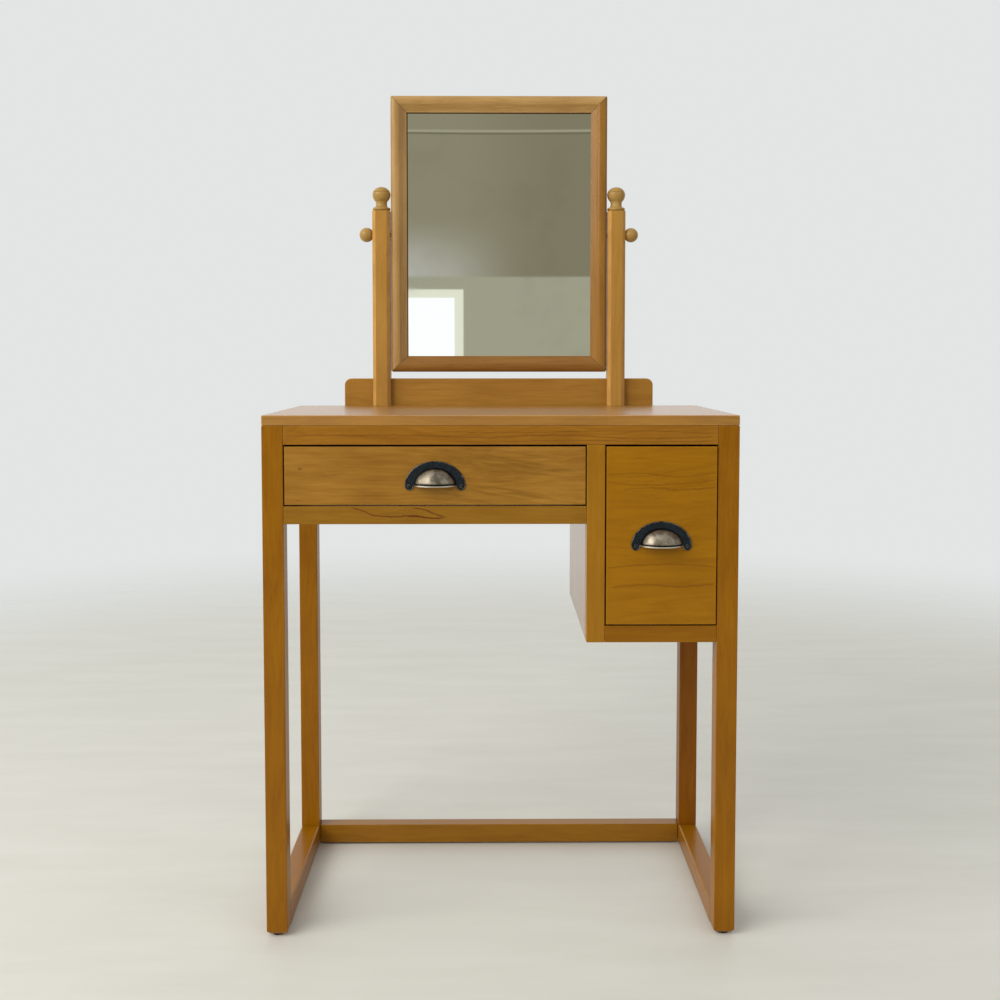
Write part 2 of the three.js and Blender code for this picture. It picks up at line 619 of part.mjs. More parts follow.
// One mitred member: it lies along X about the origin, its outer edge at z = 0, its inner edge
// above that and its front face towards -Y.
function frameMemberSolid(length) {
  const shape = new THREE.Shape(mouldingOutline().map(([u, v]) => new THREE.Vector2(u, v)));
  const geometry = new THREE.ExtrudeGeometry(shape, { depth: length, bevelEnabled: false });
  // the outline's u and v and the extrusion's w become z, -y and x
  geometry.applyMatrix4(new THREE.Matrix4().set(
    0, 0, 1, -half(length),
    0, -1, 0, half(FRAME_THICKNESS),
    1, 0, 0, 0,
    0, 0, 0, 1,
  ));
  // what lies between the two 45 degree mitres is a trapezium seen from the front
  const outerHalf = half(length) - CUT_GAP;
  const innerHalf = outerHalf - FRAME_MEMBER_WIDTH;
  const trapezium = extrudeAlongY([
    [-outerHalf, 0], [outerHalf, 0],
    [innerHalf, FRAME_MEMBER_WIDTH], [-innerHalf, FRAME_MEMBER_WIDTH],
  ], 2 * FRAME_THICKNESS);
  return toSolid(geometry).intersect(toSolid(trapezium, [0, -FRAME_THICKNESS, 0]));
}

function addMirror(table) {
  const mirror = new THREE.Group();
  mirror.position.set(0, postMiddle, pivotHeight);
  table.add(mirror);

  const flat = frameMemberSolid(MIRROR_WIDTH);
  const bottom = toGeometry(flat);
  const top = toGeometry(flat).rotateY(Math.PI);
  addMesh(mirror, 'mirror_frame_bottom', bottom, standWood, [0, 0, -half(MIRROR_HEIGHT)]);
  addMesh(mirror, 'mirror_frame_top', top, standWood, [0, 0, half(MIRROR_HEIGHT)]);
  for (const [side, sign] of [['left', -1], ['right', 1]]) {
    // the member's outer edge is at z = 0 before it turns upright, so the stud bores in from there
    const bore = barSolid('z', STUD_BORE_RADIUS, [0, 0, -STUD_IN_FRAME],
      2 * STUD_IN_FRAME + CUT_GAP, ROUND_SEGMENTS);
    const upright = toGeometry(frameMemberSolid(MIRROR_HEIGHT).subtract(bore));
    upright.rotateY(-sign * half(Math.PI));
    const place = [sign * half(MIRROR_WIDTH), 0, 0];
    addMesh(mirror, `mirror_frame_${side}`, upright, standWood, place);
  }

  const rebateHalf = half(MIRROR_WIDTH) - FRAME_MEMBER_WIDTH + REBATE_WIDTH - CUT_GAP;
  const rebateTall = half(MIRROR_HEIGHT) - FRAME_MEMBER_WIDTH + REBATE_WIDTH - CUT_GAP;
  const glassFront = half(FRAME_THICKNESS) - REBATE_DEPTH + CUT_GAP;
  const glassBack = glassFront + GLASS_THICKNESS;
  addBoard(mirror, 'mirror_glass', mirrorGlass,
    [-rebateHalf, rebateHalf], [glassFront, glassBack], [-rebateTall, rebateTall]);
  addBoard(mirror, 'mirror_backing_board', plywood, [-rebateHalf, rebateHalf],
    [glassBack + GLUE_GAP, glassBack + GLUE_GAP + BACKING_THICKNESS], [-rebateTall, rebateTall]);
}

// A ball knob turned about Z: its flat face at z = 0, its ball above, a socket for the stud.
function knobGeometry() {
  const flatRadius = Math.sqrt(KNOB_RADIUS ** 2 - KNOB_FLAT ** 2);
  const socketRadius = STUD_RADIUS + CUT_GAP;
  const from = -Math.asin(KNOB_FLAT / KNOB_RADIUS);
  const ball = arc(0, KNOB_FLAT, KNOB_RADIUS, KNOB_RADIUS, from, half(Math.PI),
    2 * CORNER_SEGMENTS);
  return turnedAboutZ([
    [0, STUD_IN_KNOB + CUT_GAP], [socketRadius, STUD_IN_KNOB + CUT_GAP], [socketRadius, 0],
    [flatRadius, 0], ...ball.slice(1, -1), [0, KNOB_FLAT + KNOB_RADIUS],
  ]);
}

function addKnobs(table) {
  const knobPlane = postCentre + half(POST_WIDTH) + KNOB_POST_GAP;
  const studStart = half(MIRROR_WIDTH) - STUD_IN_FRAME + CUT_GAP;
  const studEnd = knobPlane + STUD_IN_KNOB;
  for (const [side, sign] of [['left', -1], ['right', 1]]) {
    const knob = knobGeometry();
    knob.rotateY(sign * half(Math.PI));
    addMesh(table, `${side}_knob`, knob, turnedWood, [sign * knobPlane, postMiddle, pivotHeight]);
    const stud = new THREE.CylinderGeometry(
      STUD_RADIUS, STUD_RADIUS, studEnd - studStart, SMALL_ROUND_SEGMENTS);
    stud.rotateZ(half(Math.PI));
    const place = [sign * half(studStart + studEnd), postMiddle, pivotHeight];
    addMesh(table, `${side}_stud`, stud, screwSteel, place);
  }
}

// ---------------------------------------------------------------- assembly

const vanityTable = new THREE.Group();
const table = new THREE.Group();
table.position.set(0, tableShift, 0);
vanityTable.add(table);

addFrontFrame(table);
addLegsAndFloorFrame(table);
addPanels(table);
addDrawerRunners(table);
addDrawer(table, 'shallow_drawer', {
  x: [-legInner, stileLeft],
  sill: drawerRailTop,
  openingHeight: SHALLOW_OPENING_HEIGHT,
  faceY: 0,
  boxHeight: SHALLOW_BOX_HEIGHT,
});
addDrawer(table, 'deep_drawer', {
  x: [stileRight, legInner],
  sill: pedestalRailTop,
  openingHeight: DEEP_OPENING_HEIGHT,
  faceY: -DEEP_DRAWER_PROUD,
  boxHeight: DEEP_BOX_HEIGHT,
});
addMirrorStand(table);
addMirror(table);
addKnobs(table);

export default vanityTable;
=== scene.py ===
"""Vanity table with a swing mirror: its looks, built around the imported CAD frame.

Metres, +Z up, the drawers face -Y. Boards stay the CAD's own nodes, with rounded edges and wood
materials. Mouldings, turnings and hardware are finer pieces that stand for their CAD nodes.
"""

import math

import bmesh
import bpy
from mathutils import Matrix, Vector


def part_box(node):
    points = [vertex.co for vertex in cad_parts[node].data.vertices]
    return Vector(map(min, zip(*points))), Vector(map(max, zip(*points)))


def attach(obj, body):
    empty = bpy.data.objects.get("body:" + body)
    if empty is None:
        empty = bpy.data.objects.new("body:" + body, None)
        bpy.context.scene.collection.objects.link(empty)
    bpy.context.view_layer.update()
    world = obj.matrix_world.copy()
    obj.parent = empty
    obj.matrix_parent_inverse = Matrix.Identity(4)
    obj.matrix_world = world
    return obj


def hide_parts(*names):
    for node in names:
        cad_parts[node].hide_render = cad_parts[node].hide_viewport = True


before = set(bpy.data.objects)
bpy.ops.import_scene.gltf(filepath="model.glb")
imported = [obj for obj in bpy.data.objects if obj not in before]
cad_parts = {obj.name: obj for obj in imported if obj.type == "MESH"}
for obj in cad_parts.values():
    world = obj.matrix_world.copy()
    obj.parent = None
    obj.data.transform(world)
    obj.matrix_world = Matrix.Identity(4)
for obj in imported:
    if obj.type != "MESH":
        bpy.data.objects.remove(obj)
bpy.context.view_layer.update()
scene = bpy.context.scene

MM = 0.001
QUARTER = math.pi / 2


# ---------------------------------------------------------------- colours and places

def srgb(red, green, blue):
    """A colour given as 0 to 255 values, as linear RGBA."""
    def linear(value):
        value /= 255
        return value / 12.92 if value <= 0.04045 else ((value + 0.055) / 1.055) ** 2.4
    return (linear(red), linear(green), linear(blue), 1.0)


def centre(node):
    low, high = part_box(node)
    return (low + high) / 2


def size(node):
    low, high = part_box(node)
    return high - low


# ---------------------------------------------------------------- node helpers

def add_node(tree, kind, inputs=None, **settings):
    """A node with its settings, its inputs set to values or linked to other nodes' outputs."""
    made = tree.nodes.new(kind)
    for name, value in settings.items():
        setattr(made, name, value)
    for name, value in (inputs or {}).items():
        if isinstance(value, bpy.types.NodeSocket):
            tree.links.new(value, made.inputs[name])
        else:
            made.inputs[name].default_value = value
    return made


def calc(tree, operation, first, second=0.0):
    return add_node(tree, "ShaderNodeMath", {0: first, 1: second}, operation=operation).outputs[0]


def swing(tree, noise, weight):
    """A noise as a swing about 0."""
    return calc(tree, "MULTIPLY", calc(tree, "SUBTRACT", noise, 0.5), weight)


def remap(tree, value, start, end, low=0.0, high=1.0, smooth=True):
    kind = "SMOOTHSTEP" if smooth else "LINEAR"
    made = add_node(tree, "ShaderNodeMapRange", {
        "Value": value, "From Min": start, "From Max": end, "To Min": low, "To Max": high,
    }, interpolation_type=kind)
    return made.outputs["Result"]


def blend_colour(tree, share, first, second, mode="MIX"):
    made = add_node(tree, "ShaderNodeMix", data_type="RGBA", blend_type=mode)
    for socket, value in ((0, share), (6, first), (7, second)):
        if isinstance(value, bpy.types.NodeSocket):
            tree.links.new(value, made.inputs[socket])
        else:
            made.inputs[socket].default_value = value
    return made.outputs[2]


def stretched_noise(tree, place, stretch, detail=2.0, roughness=0.5):
    """Noise of a place, finer on the axes with a larger stretch; values about 0.5."""
    scaled = add_node(tree, "ShaderNodeVectorMath", {0: place, 1: stretch}, operation="MULTIPLY")
    return add_node(tree, "ShaderNodeTexNoise", {
        "Vector": scaled.outputs[0], "Scale": 1.0, "Detail": detail, "Roughness": roughness,
    }, noise_dimensions="3D").outputs[0]


# ---------------------------------------------------------------- wood

def make_wood_group():
    """The figure of lacquered wood, for a place in metres whose X runs along the grain."""
    tree = bpy.data.node_groups.new("wood_figure", "ShaderNodeTree")
    interface = tree.interface
    for name, kind in (("Place", "NodeSocketVector"), ("Base", "NodeSocketColor"),
                       ("Figure", "NodeSocketFloat"), ("Bands", "NodeSocketFloat"),
                       ("Gloss", "NodeSocketFloat")):
        interface.new_socket(name, in_out="INPUT", socket_type=kind)
    for name, kind in (("Color", "NodeSocketColor"), ("Roughness", "NodeSocketFloat"),
                       ("Height", "NodeSocketFloat")):
        interface.new_socket(name, in_out="OUTPUT", socket_type=kind)
    given = tree.nodes.new("NodeGroupInput").outputs

    sway = swing(tree, stretched_noise(tree, given["Place"], (5, 9, 9), 1.0), 0.03)
    shift = add_node(tree, "ShaderNodeCombineXYZ", {"Y": sway, "Z": sway}).outputs[0]
    place = add_node(tree, "ShaderNodeVectorMath", {0: given["Place"], 1: shift},
                     operation="ADD").outputs[0]

    # each noise is given by its changes in a metre along the grain and across it
    mottle = stretched_noise(tree, place, (9, 22, 22), 2.0)
    streaks = stretched_noise(tree, place, (9, 170, 170), 3.0, 0.6)
    fibres = stretched_noise(tree, place, (30, 900, 900), 2.0, 0.6)
    dashes = stretched_noise(tree, place, (34, 560, 560), 1.0)
    lines = stretched_noise(tree, place, (14, 380, 380), 2.0, 0.6)
    # contours of a slow noise make the long wavy lines of growth rings
    rings = stretched_noise(tree, place, (2.2, 26, 26), 1.0)
    waves = calc(tree, "SINE", calc(tree, "MULTIPLY", rings, 46.0))
    ring_line = remap(tree, waves, 0.2, 1.0)

    total = swing(tree, mottle, 0.75)
    for noise, weight in ((streaks, 0.8), (fibres, 0.35), (lines, 0.5)):
        total = calc(tree, "ADD", total, swing(tree, noise, weight))
    total = calc(tree, "MULTIPLY", total, given["Figure"])
    banded = calc(tree, "MULTIPLY", ring_line, given["Bands"])
    dash = calc(tree, "MULTIPLY", remap(tree, dashes, 0.62, 0.74),
                calc(tree, "MULTIPLY", given["Figure"], 0.17))
    light = calc(tree, "SUBTRACT", calc(tree, "SUBTRACT", total, banded), dash)
    brightness = calc(tree, "ADD", 1.0, light)

    # darker grain is redder: green and blue fall faster than red
    channels = {index: calc(tree, "POWER", brightness, power)
                for index, power in enumerate((0.85, 1.1, 1.5))}
    tint = add_node(tree, "ShaderNodeCombineColor", channels).outputs[0]
    colour = blend_colour(tree, 1.0, given["Base"], tint, "MULTIPLY")

    roughness = calc(tree, "ADD", given["Gloss"], swing(tree, streaks, 0.25))
    roughness = calc(tree, "ADD", roughness, swing(tree, mottle, 0.12))
    height = calc(tree, "SUBTRACT", calc(tree, "MULTIPLY", fibres, 0.5),
                  calc(tree, "MULTIPLY", remap(tree, dashes, 0.6, 0.72), 0.6))
    made = tree.nodes.new("NodeGroupOutput")
    for name, value in (("Color", colour), ("Roughness", roughness), ("Height", height)):
        tree.links.new(value, made.inputs[name])
    return tree


WOOD = make_wood_group()
TURN_TO_GRAIN = {"X": (0, 0, 0), "Y": (0, 0, -QUARTER), "Z": (0, QUARTER, 0)}
EDGE_RADIUS = 1.3 * MM
# how much paler the wood is along its edges, partly lacquer rubbed thin and partly a painted highlight:
# times the first, plus the second
WEAR_AND_HIGHLIGHT_GAIN = (1.6, 1.65, 2.0, 1)
WEAR_AND_HIGHLIGHT_LIFT = (0.05, 0.042, 0.03)
# each wood material takes its figure from another place in the same timber
material_numbers = iter(range(1, 1000))
TIMBER_STEP = (0.37, 0.71, 0.53)


def square_edges(tree):
    """1 along the edges of a board whose faces lie square to its axes, 0 on its faces."""
    rounded = add_node(tree, "ShaderNodeBevel", {"Radius": EDGE_RADIUS}, samples=4).outputs[0]
    own = add_node(tree, "ShaderNodeVectorTransform", {0: rounded}, vector_type="NORMAL",
                   convert_from="WORLD", convert_to="OBJECT").outputs[0]
    squared = add_node(tree, "ShaderNodeVectorMath", {0: own, 1: own}, operation="MULTIPLY")
    split = add_node(tree, "ShaderNodeSeparateXYZ", {0: squared.outputs[0]}).outputs
    most = calc(tree, "MAXIMUM", calc(tree, "MAXIMUM", split["X"], split["Y"]), split["Z"])
    return remap(tree, most, 0.97, 0.62)


def wood(name, colour, grain="X", figure=0.5, bands=0.0, gloss=0.34, lacquer=0.2, marks=None,
         wear_and_highlight=0.35, coat_blur=0.16, shine=0.15):
    """A wood material of its own for one piece. marks(tree, place, colour) draws on the colour."""
    material = bpy.data.materials.new(name)
    material.use_nodes = True
    tree = material.node_tree
    shader = tree.nodes["Principled BSDF"]
    place = tree.nodes.new("ShaderNodeTexCoord").outputs["Object"]
    number = next(material_numbers)
    turned = add_node(tree, "ShaderNodeMapping", {
        "Vector": place, "Rotation": TURN_TO_GRAIN[grain],
        "Location": [step * number for step in TIMBER_STEP],
    }).outputs[0]
    figured = add_node(tree, "ShaderNodeGroup", {}, node_tree=WOOD)
    tree.links.new(turned, figured.inputs["Place"])
    for socket, value in (("Base", srgb(*colour)), ("Figure", figure), ("Bands", bands),
                          ("Gloss", gloss)):
        figured.inputs[socket].default_value = value
    shown = figured.outputs["Color"]
    if marks:
        shown = marks(tree, place, shown)

    if wear_and_highlight:
        # along the edges the wood is paler: partly lacquer rubbed thin, partly a painted highlight on
        # every edge
        uneven = remap(tree, stretched_noise(tree, place, (40, 40, 40), 2.0), 0.35, 0.6, 0.5, 1.0)
        edge = calc(tree, "MULTIPLY", calc(tree, "MULTIPLY", square_edges(tree), wear_and_highlight), uneven)
        pale = blend_colour(tree, 1.0, shown, WEAR_AND_HIGHLIGHT_GAIN, "MULTIPLY")
        pale = add_node(tree, "ShaderNodeVectorMath", {0: pale, 1: WEAR_AND_HIGHLIGHT_LIFT},
                        operation="ADD").outputs[0]
        shown = blend_colour(tree, edge, shown, pale)

    tree.links.new(shown, shader.inputs["Base Color"])
    tree.links.new(figured.outputs["Roughness"], shader.inputs["Roughness"])
    bump = add_node(tree, "ShaderNodeBump", {
        "Strength": 0.25, "Distance": 0.25 * MM, "Height": figured.outputs["Height"],
    }).outputs[0]
    tree.links.new(bump, shader.inputs["Normal"])
    shader.inputs["Specular IOR Level"].default_value = shine
    shader.inputs["Coat Weight"].default_value = lacquer
    shader.inputs["Coat Roughness"].default_value = coat_blur
    return material


LINE_WOBBLE = 4 * MM


def line_marks(node, lines, colour, depth):
    """Dark streaks on a board's front. Each line is points (across, down) as shares of the
    board's width and height, with its half thickness as a share of the height."""
    low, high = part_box(node)
    unsteady = LINE_WOBBLE / (high.z - low.z)

    def draw(tree, place, shown):
        split = add_node(tree, "ShaderNodeSeparateXYZ", {0: place}).outputs
        wobble = stretched_noise(tree, place, (60, 60, 160), 2.0)
        across = remap(tree, split["X"], low.x, high.x, smooth=False)
        down = remap(tree, split["Z"], high.z, low.z, smooth=False)
        down = calc(tree, "ADD", down, swing(tree, wobble, unsteady))
        for points, thickness in lines:
            path = tree.nodes.new("ShaderNodeFloatCurve")
            tree.links.new(across, path.inputs["Value"])
            curve = path.mapping.curves[0]
            curve.points[0].location = points[0]
            curve.points[1].location = points[-1]
            for point in points[1:-1]:
                curve.points.new(*point)
            path.mapping.update()
            away = calc(tree, "ABSOLUTE", calc(tree, "SUBTRACT", down, path.outputs[0]))
            inside = remap(tree, away, thickness, thickness * 0.2)
            # a line starts and ends softly
            first, last = points[0][0], points[-1][0]
            begun = remap(tree, across, first, first + 0.02)
            ended = remap(tree, across, last, last - 0.03)
            mask = calc(tree, "MULTIPLY", calc(tree, "MULTIPLY", inside, begun), ended)
            mask = calc(tree, "MULTIPLY", mask, depth)
            shown = blend_colour(tree, mask, shown, srgb(*colour))
        return shown
    return draw


def all_marks(*marks):
    """Several marks, drawn one after the other."""
    def draw(tree, place, shown):
        for mark in marks:
            shown = mark(tree, place, shown)
        return shown
    return draw


def sweep_marks(node, colour, start, slant, depth):
    """Slanting grain that sweeps down across a board's front, from start, a share of its width,
    to its right end."""
    low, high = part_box(node)

    def draw(tree, place, shown):
        split = add_node(tree, "ShaderNodeSeparateXYZ", {0: place}).outputs
        across = remap(tree, split["X"], low.x, high.x, smooth=False)
        slanted = add_node(tree, "ShaderNodeMapping", {
            "Vector": place, "Rotation": (0, slant, 0), "Location": (0.3, 0, 0.1)}).outputs[0]
        broad = remap(tree, stretched_noise(tree, slanted, (5, 60, 95), 1.0), 0.46, 0.62)
        fine = remap(tree, stretched_noise(tree, slanted, (24, 300, 420), 2.0), 0.4, 0.62, 0.25, 1.0)
        there = remap(tree, across, start, start + 0.14)
        mask = calc(tree, "MULTIPLY", calc(tree, "MULTIPLY", broad, fine), there)
        return blend_colour(tree, calc(tree, "MULTIPLY", mask, depth), shown, srgb(*colour))
    return draw


def knot_mark(node, colour, across, down, radius):
    """A small dark knot on a board's front, at shares of its width and height."""
    low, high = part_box(node)
    middle = (low.x + (high.x - low.x) * across, 0, high.z - (high.z - low.z) * down)

    def draw(tree, place, shown):
        offset = add_node(tree, "ShaderNodeVectorMath", {0: place, 1: middle},
                          operation="SUBTRACT").outputs[0]
        # longer along the grain than across it
        oval = add_node(tree, "ShaderNodeVectorMath", {0: offset, 1: (0.7, 0, 1)},
                        operation="MULTIPLY").outputs[0]
        away = add_node(tree, "ShaderNodeVectorMath", {0: oval}, operation="LENGTH")
        mask = remap(tree, away.outputs["Value"], radius * 1.6, radius * 0.4, 0.0, 0.7)
        return blend_colour(tree, mask, shown, srgb(*colour))
    return draw


# ---------------------------------------------------------------- metal, glass and the rest

def material_with_noise(name, stretch, detail=3.0):
    """A new material, its shader, and a noise of the object's own place."""
    material = bpy.data.materials.new(name)
    material.use_nodes = True
    tree = material.node_tree
    place = tree.nodes.new("ShaderNodeTexCoord").outputs["Object"]
    noise = stretched_noise(tree, place, stretch, detail, 0.6)
    return material, tree, tree.nodes["Principled BSDF"], place, noise


def metal(name, dark, light, rough_low, rough_high, grain=260, metallic=1.0, bump=0.3):
    """Aged metal: two tones in blotches, uneven polish and a slightly pitted surface."""
    material, tree, shader, place, blotch = material_with_noise(name, (grain, grain, grain))
    fine = stretched_noise(tree, place, (grain * 9,) * 3, 2.0)
    share = remap(tree, blotch, 0.35, 0.65)
    colour = blend_colour(tree, share, srgb(*dark), srgb(*light))
    tree.links.new(colour, shader.inputs["Base Color"])
    rough = remap(tree, calc(tree, "ADD", calc(tree, "MULTIPLY", blotch, 0.6),
                             calc(tree, "MULTIPLY", fine, 0.4)), 0.35, 0.65, rough_low, rough_high)
    tree.links.new(rough, shader.inputs["Roughness"])
    height = calc(tree, "ADD", blotch, calc(tree, "MULTIPLY", fine, 0.3))
    bumped = add_node(tree, "ShaderNodeBump", {
        "Strength": bump, "Distance": 0.3 * MM, "Height": height}).outputs[0]
    tree.links.new(bumped, shader.inputs["Normal"])
    shader.inputs["Metallic"].default_value = metallic
    return material


def mirror_glass_material(opening_left, opening_top):
    """Silvered glass with faint smudges; along its left and top edges, beside the frame, it has a dark
    band of painted shade."""
    material, tree, shader, place, cloud = material_with_noise("silvered_glass", (9, 9, 9), 3.0)
    dust = stretched_noise(tree, place, (420, 420, 420), 1.0)
    smudge = remap(tree, cloud, 0.5, 0.75)
    speck = remap(tree, dust, 0.7, 0.78)
    tree.links.new(remap(tree, calc(tree, "ADD", calc(tree, "MULTIPLY", smudge, 0.5), speck),
                         0, 1, 0.012, 0.06), shader.inputs["Roughness"])
    colour = blend_colour(tree, smudge, srgb(238, 241, 237), srgb(230, 233, 229))
    split = add_node(tree, "ShaderNodeSeparateXYZ", {0: place}).outputs
    from_left = calc(tree, "SUBTRACT", split["X"], opening_left)
    from_top = calc(tree, "SUBTRACT", opening_top, split["Z"])
    nearest = calc(tree, "MINIMUM", from_left, from_top)
    # painted shade: a dark band along the glass's left and top edges, beside the frame
    rim = remap(tree, nearest, 2.0 * MM, 1.0 * MM)
    shown = blend_colour(tree, rim, colour, srgb(92, 56, 30))
    tree.links.new(shown, shader.inputs["Base Color"])
    shader.inputs["Metallic"].default_value = 1.0
    return material


def plywood_material(name, grain="X"):
    return wood(name, PLYWOOD, grain, figure=0.55, bands=0.08, gloss=0.62, lacquer=0.0, wear_and_highlight=0.2)


def rubber_material():
    material, tree, shader, _, noise = material_with_noise("rubber", (700, 700, 700))
    colour = blend_colour(tree, noise, srgb(22, 19, 17), srgb(48, 43, 38))
    tree.links.new(colour, shader.inputs["Base Color"])
    tree.links.new(remap(tree, noise, 0.3, 0.7, 0.7, 0.95), shader.inputs["Roughness"])
    bumped = add_node(tree, "ShaderNodeBump", {
        "Strength": 0.5, "Distance": 0.3 * MM, "Height": noise}).outputs[0]
    tree.links.new(bumped, shader.inputs["Normal"])
    return material


# ---------------------------------------------------------------- mesh helpers

def shade(mesh, sharp_angle=35):
    mesh.shade_smooth()
    mesh.set_sharp_from_angle(angle=math.radians(sharp_angle))


def mesh_from(name, made, sharp_angle=35):
    """A mesh from a bmesh, its doubled points joined and its faces pointing out."""
    bmesh.ops.remove_doubles(made, verts=made.verts, dist=1e-6)
    bmesh.ops.recalc_face_normals(made, faces=made.faces)
    mesh = bpy.data.meshes.new(name)
    made.to_mesh(mesh)
    made.free()
    shade(mesh, sharp_angle)
    return mesh


def add_piece(name, mesh, body, materials, replaced=()):
    piece = bpy.data.objects.new(name, mesh)
    scene.collection.objects.link(piece)
    for material in materials:
        mesh.materials.append(material)
    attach(piece, body)
    if replaced:
        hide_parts(*replaced)


def arc(centre_point, radii, start, end, steps):
    """Points on an arc, angles in radians."""
    return [(centre_point[0] + radii[0] * math.cos(start + (end - start) * step / steps),
             centre_point[1] + radii[1] * math.sin(start + (end - start) * step / steps))
            for step in range(steps + 1)]


def lathe(made, profile, place, segments=64, turn=Matrix.Identity(4)):
    """Turns (radius, height) points about +Z, turned and put in place, into a bmesh."""
    to_place = Matrix.Translation(place) @ turn
    rings = []
    for radius, height in profile:
        count = 1 if radius < 1e-7 else segments
        rings.append([made.verts.new(to_place @ Vector((
            radius * math.cos(math.tau * step / segments),
            radius * math.sin(math.tau * step / segments), height))) for step in range(count)])
    for lower, upper in zip(rings, rings[1:]):
        for step in range(segments):
            after = (step + 1) % segments
            corners = [lower[step % len(lower)], lower[after % len(lower)],
                       upper[after % len(upper)], upper[step % len(upper)]]
            unique = list(dict.fromkeys(corners))
            if len(unique) > 2:
                made.faces.new(unique)
    return made


def grid_faces(made, rows):
    for first, second in zip(rows, rows[1:]):
        for step in range(len(first) - 1):
            corners = dict.fromkeys([first[step], first[step + 1], second[step + 1], second[step]])
            if len(corners) > 2:
                made.faces.new(list(corners))


# ---------------------------------------------------------------- boards: CAD nodes kept

def dress(node, material, edge=0.8, segments=3):
    """A kept CAD node gets its material and softly rounded edges, edge in millimetres."""
    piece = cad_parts[node]
    mesh = piece.data
    if "custom_normal" in mesh.attributes:
        mesh.attributes.remove(mesh.attributes["custom_normal"])
    shade(mesh)
    mesh.materials.clear()
    mesh.materials.append(material)
    weld = piece.modifiers.new("weld", "WELD")
    weld.merge_threshold = 0.01 * MM
    flat = piece.modifiers.new("flat", "DECIMATE")
    flat.decimate_type = "DISSOLVE"
    flat.angle_limit = math.radians(0.5)
    if edge:
        bevel = piece.modifiers.new("edge", "BEVEL")
        bevel.width = edge * MM
        bevel.segments = segments
        bevel.limit_method = "ANGLE"
        bevel.angle_limit = math.radians(40)
        bevel.harden_normals = True


def dress_bare(node, grain):
    """A board of a drawer box or its runner, in wood without lacquer."""
    dress(node, wood(f"{node}_wood", DRAWER_BOX, grain, 0.45, 0.05, 0.55, 0.0), 0.7)


# colours of the woods and of the marks on them, 0 to 255
LEG = (141, 89, 2)
# painted shade: the rear right leg is darker than the other legs, as if in the pedestal's shadow
SHADED_REAR_RIGHT_LEG = (124, 72, 3)
STRETCHER = (142, 94, 12)
TOP = (158, 106, 10)
TOP_RAIL = (148, 97, 20)
LEFT_DRAWER = (152, 106, 35)
DRAWER_RAIL = (142, 98, 22)
RIGHT_DRAWER = (152, 101, 3)
STILE = (152, 102, 14)
BOTTOM_RAIL = (136, 86, 3)
STAND = (166, 118, 46)
POST = (176, 129, 58)
# painted light and shade: the mirror frame's left and top members are paler, its right and bottom
# members darker, as if lit from the upper left
MIRROR_FRAME_LIT_AND_SHADED = {"left": (175, 137, 82), "top": (181, 143, 86), "right": (148, 103, 38),
                "bottom": (140, 95, 40)}
TURNED = (172, 136, 72)
DRAWER_BOX = (196, 160, 108)
PLYWOOD = (186, 148, 98)
DRAWER_RAIL_STREAK = (98, 40, 10)
RIGHT_DRAWER_LINE = (112, 66, 8)
TOP_RAIL_LINE = (108, 62, 12)
SWEEP = (116, 76, 18)
KNOT = (104, 66, 14)

DRAWER_RAIL_STREAKS = [
    ([(0.22, 0.05), (0.27, 0.3), (0.31, 0.55), (0.36, 0.6), (0.42, 0.52), (0.5, 0.66), (0.54, 0.66)],
     0.05),
    ([(0.4, 0.56), (0.45, 0.58), (0.5, 0.67), (0.53, 0.68)], 0.075),
    ([(0.42, 0.04), (0.46, 0.19), (0.49, 0.36), (0.53, 0.62), (0.545, 0.7)], 0.06),
]
RIGHT_DRAWER_LINES = [
    ([(0.0, 0.16), (0.3, 0.15), (0.6, 0.165), (1.0, 0.15)], 0.005),
    ([(0.0, 0.195), (0.3, 0.215), (0.6, 0.21), (1.0, 0.19)], 0.006),
    ([(0.15, 0.24), (0.4, 0.232), (0.75, 0.24), (1.0, 0.225)], 0.007),
    ([(0.0, 0.68), (0.3, 0.665), (0.65, 0.66), (1.0, 0.675)], 0.008),
    ([(0.05, 0.79), (0.35, 0.775), (0.7, 0.785), (1.0, 0.77)], 0.009),
]
TOP_RAIL_LINES = [
    ([(0.0, 0.55), (0.3, 0.5), (0.45, 0.62), (0.62, 0.5), (0.8, 0.66), (1.0, 0.58)], 0.05),
    ([(0.35, 0.3), (0.55, 0.36), (0.75, 0.28), (1.0, 0.4)], 0.035),
    ([(0.5, 0.85), (0.7, 0.78), (0.85, 0.86), (1.0, 0.8)], 0.04),
]

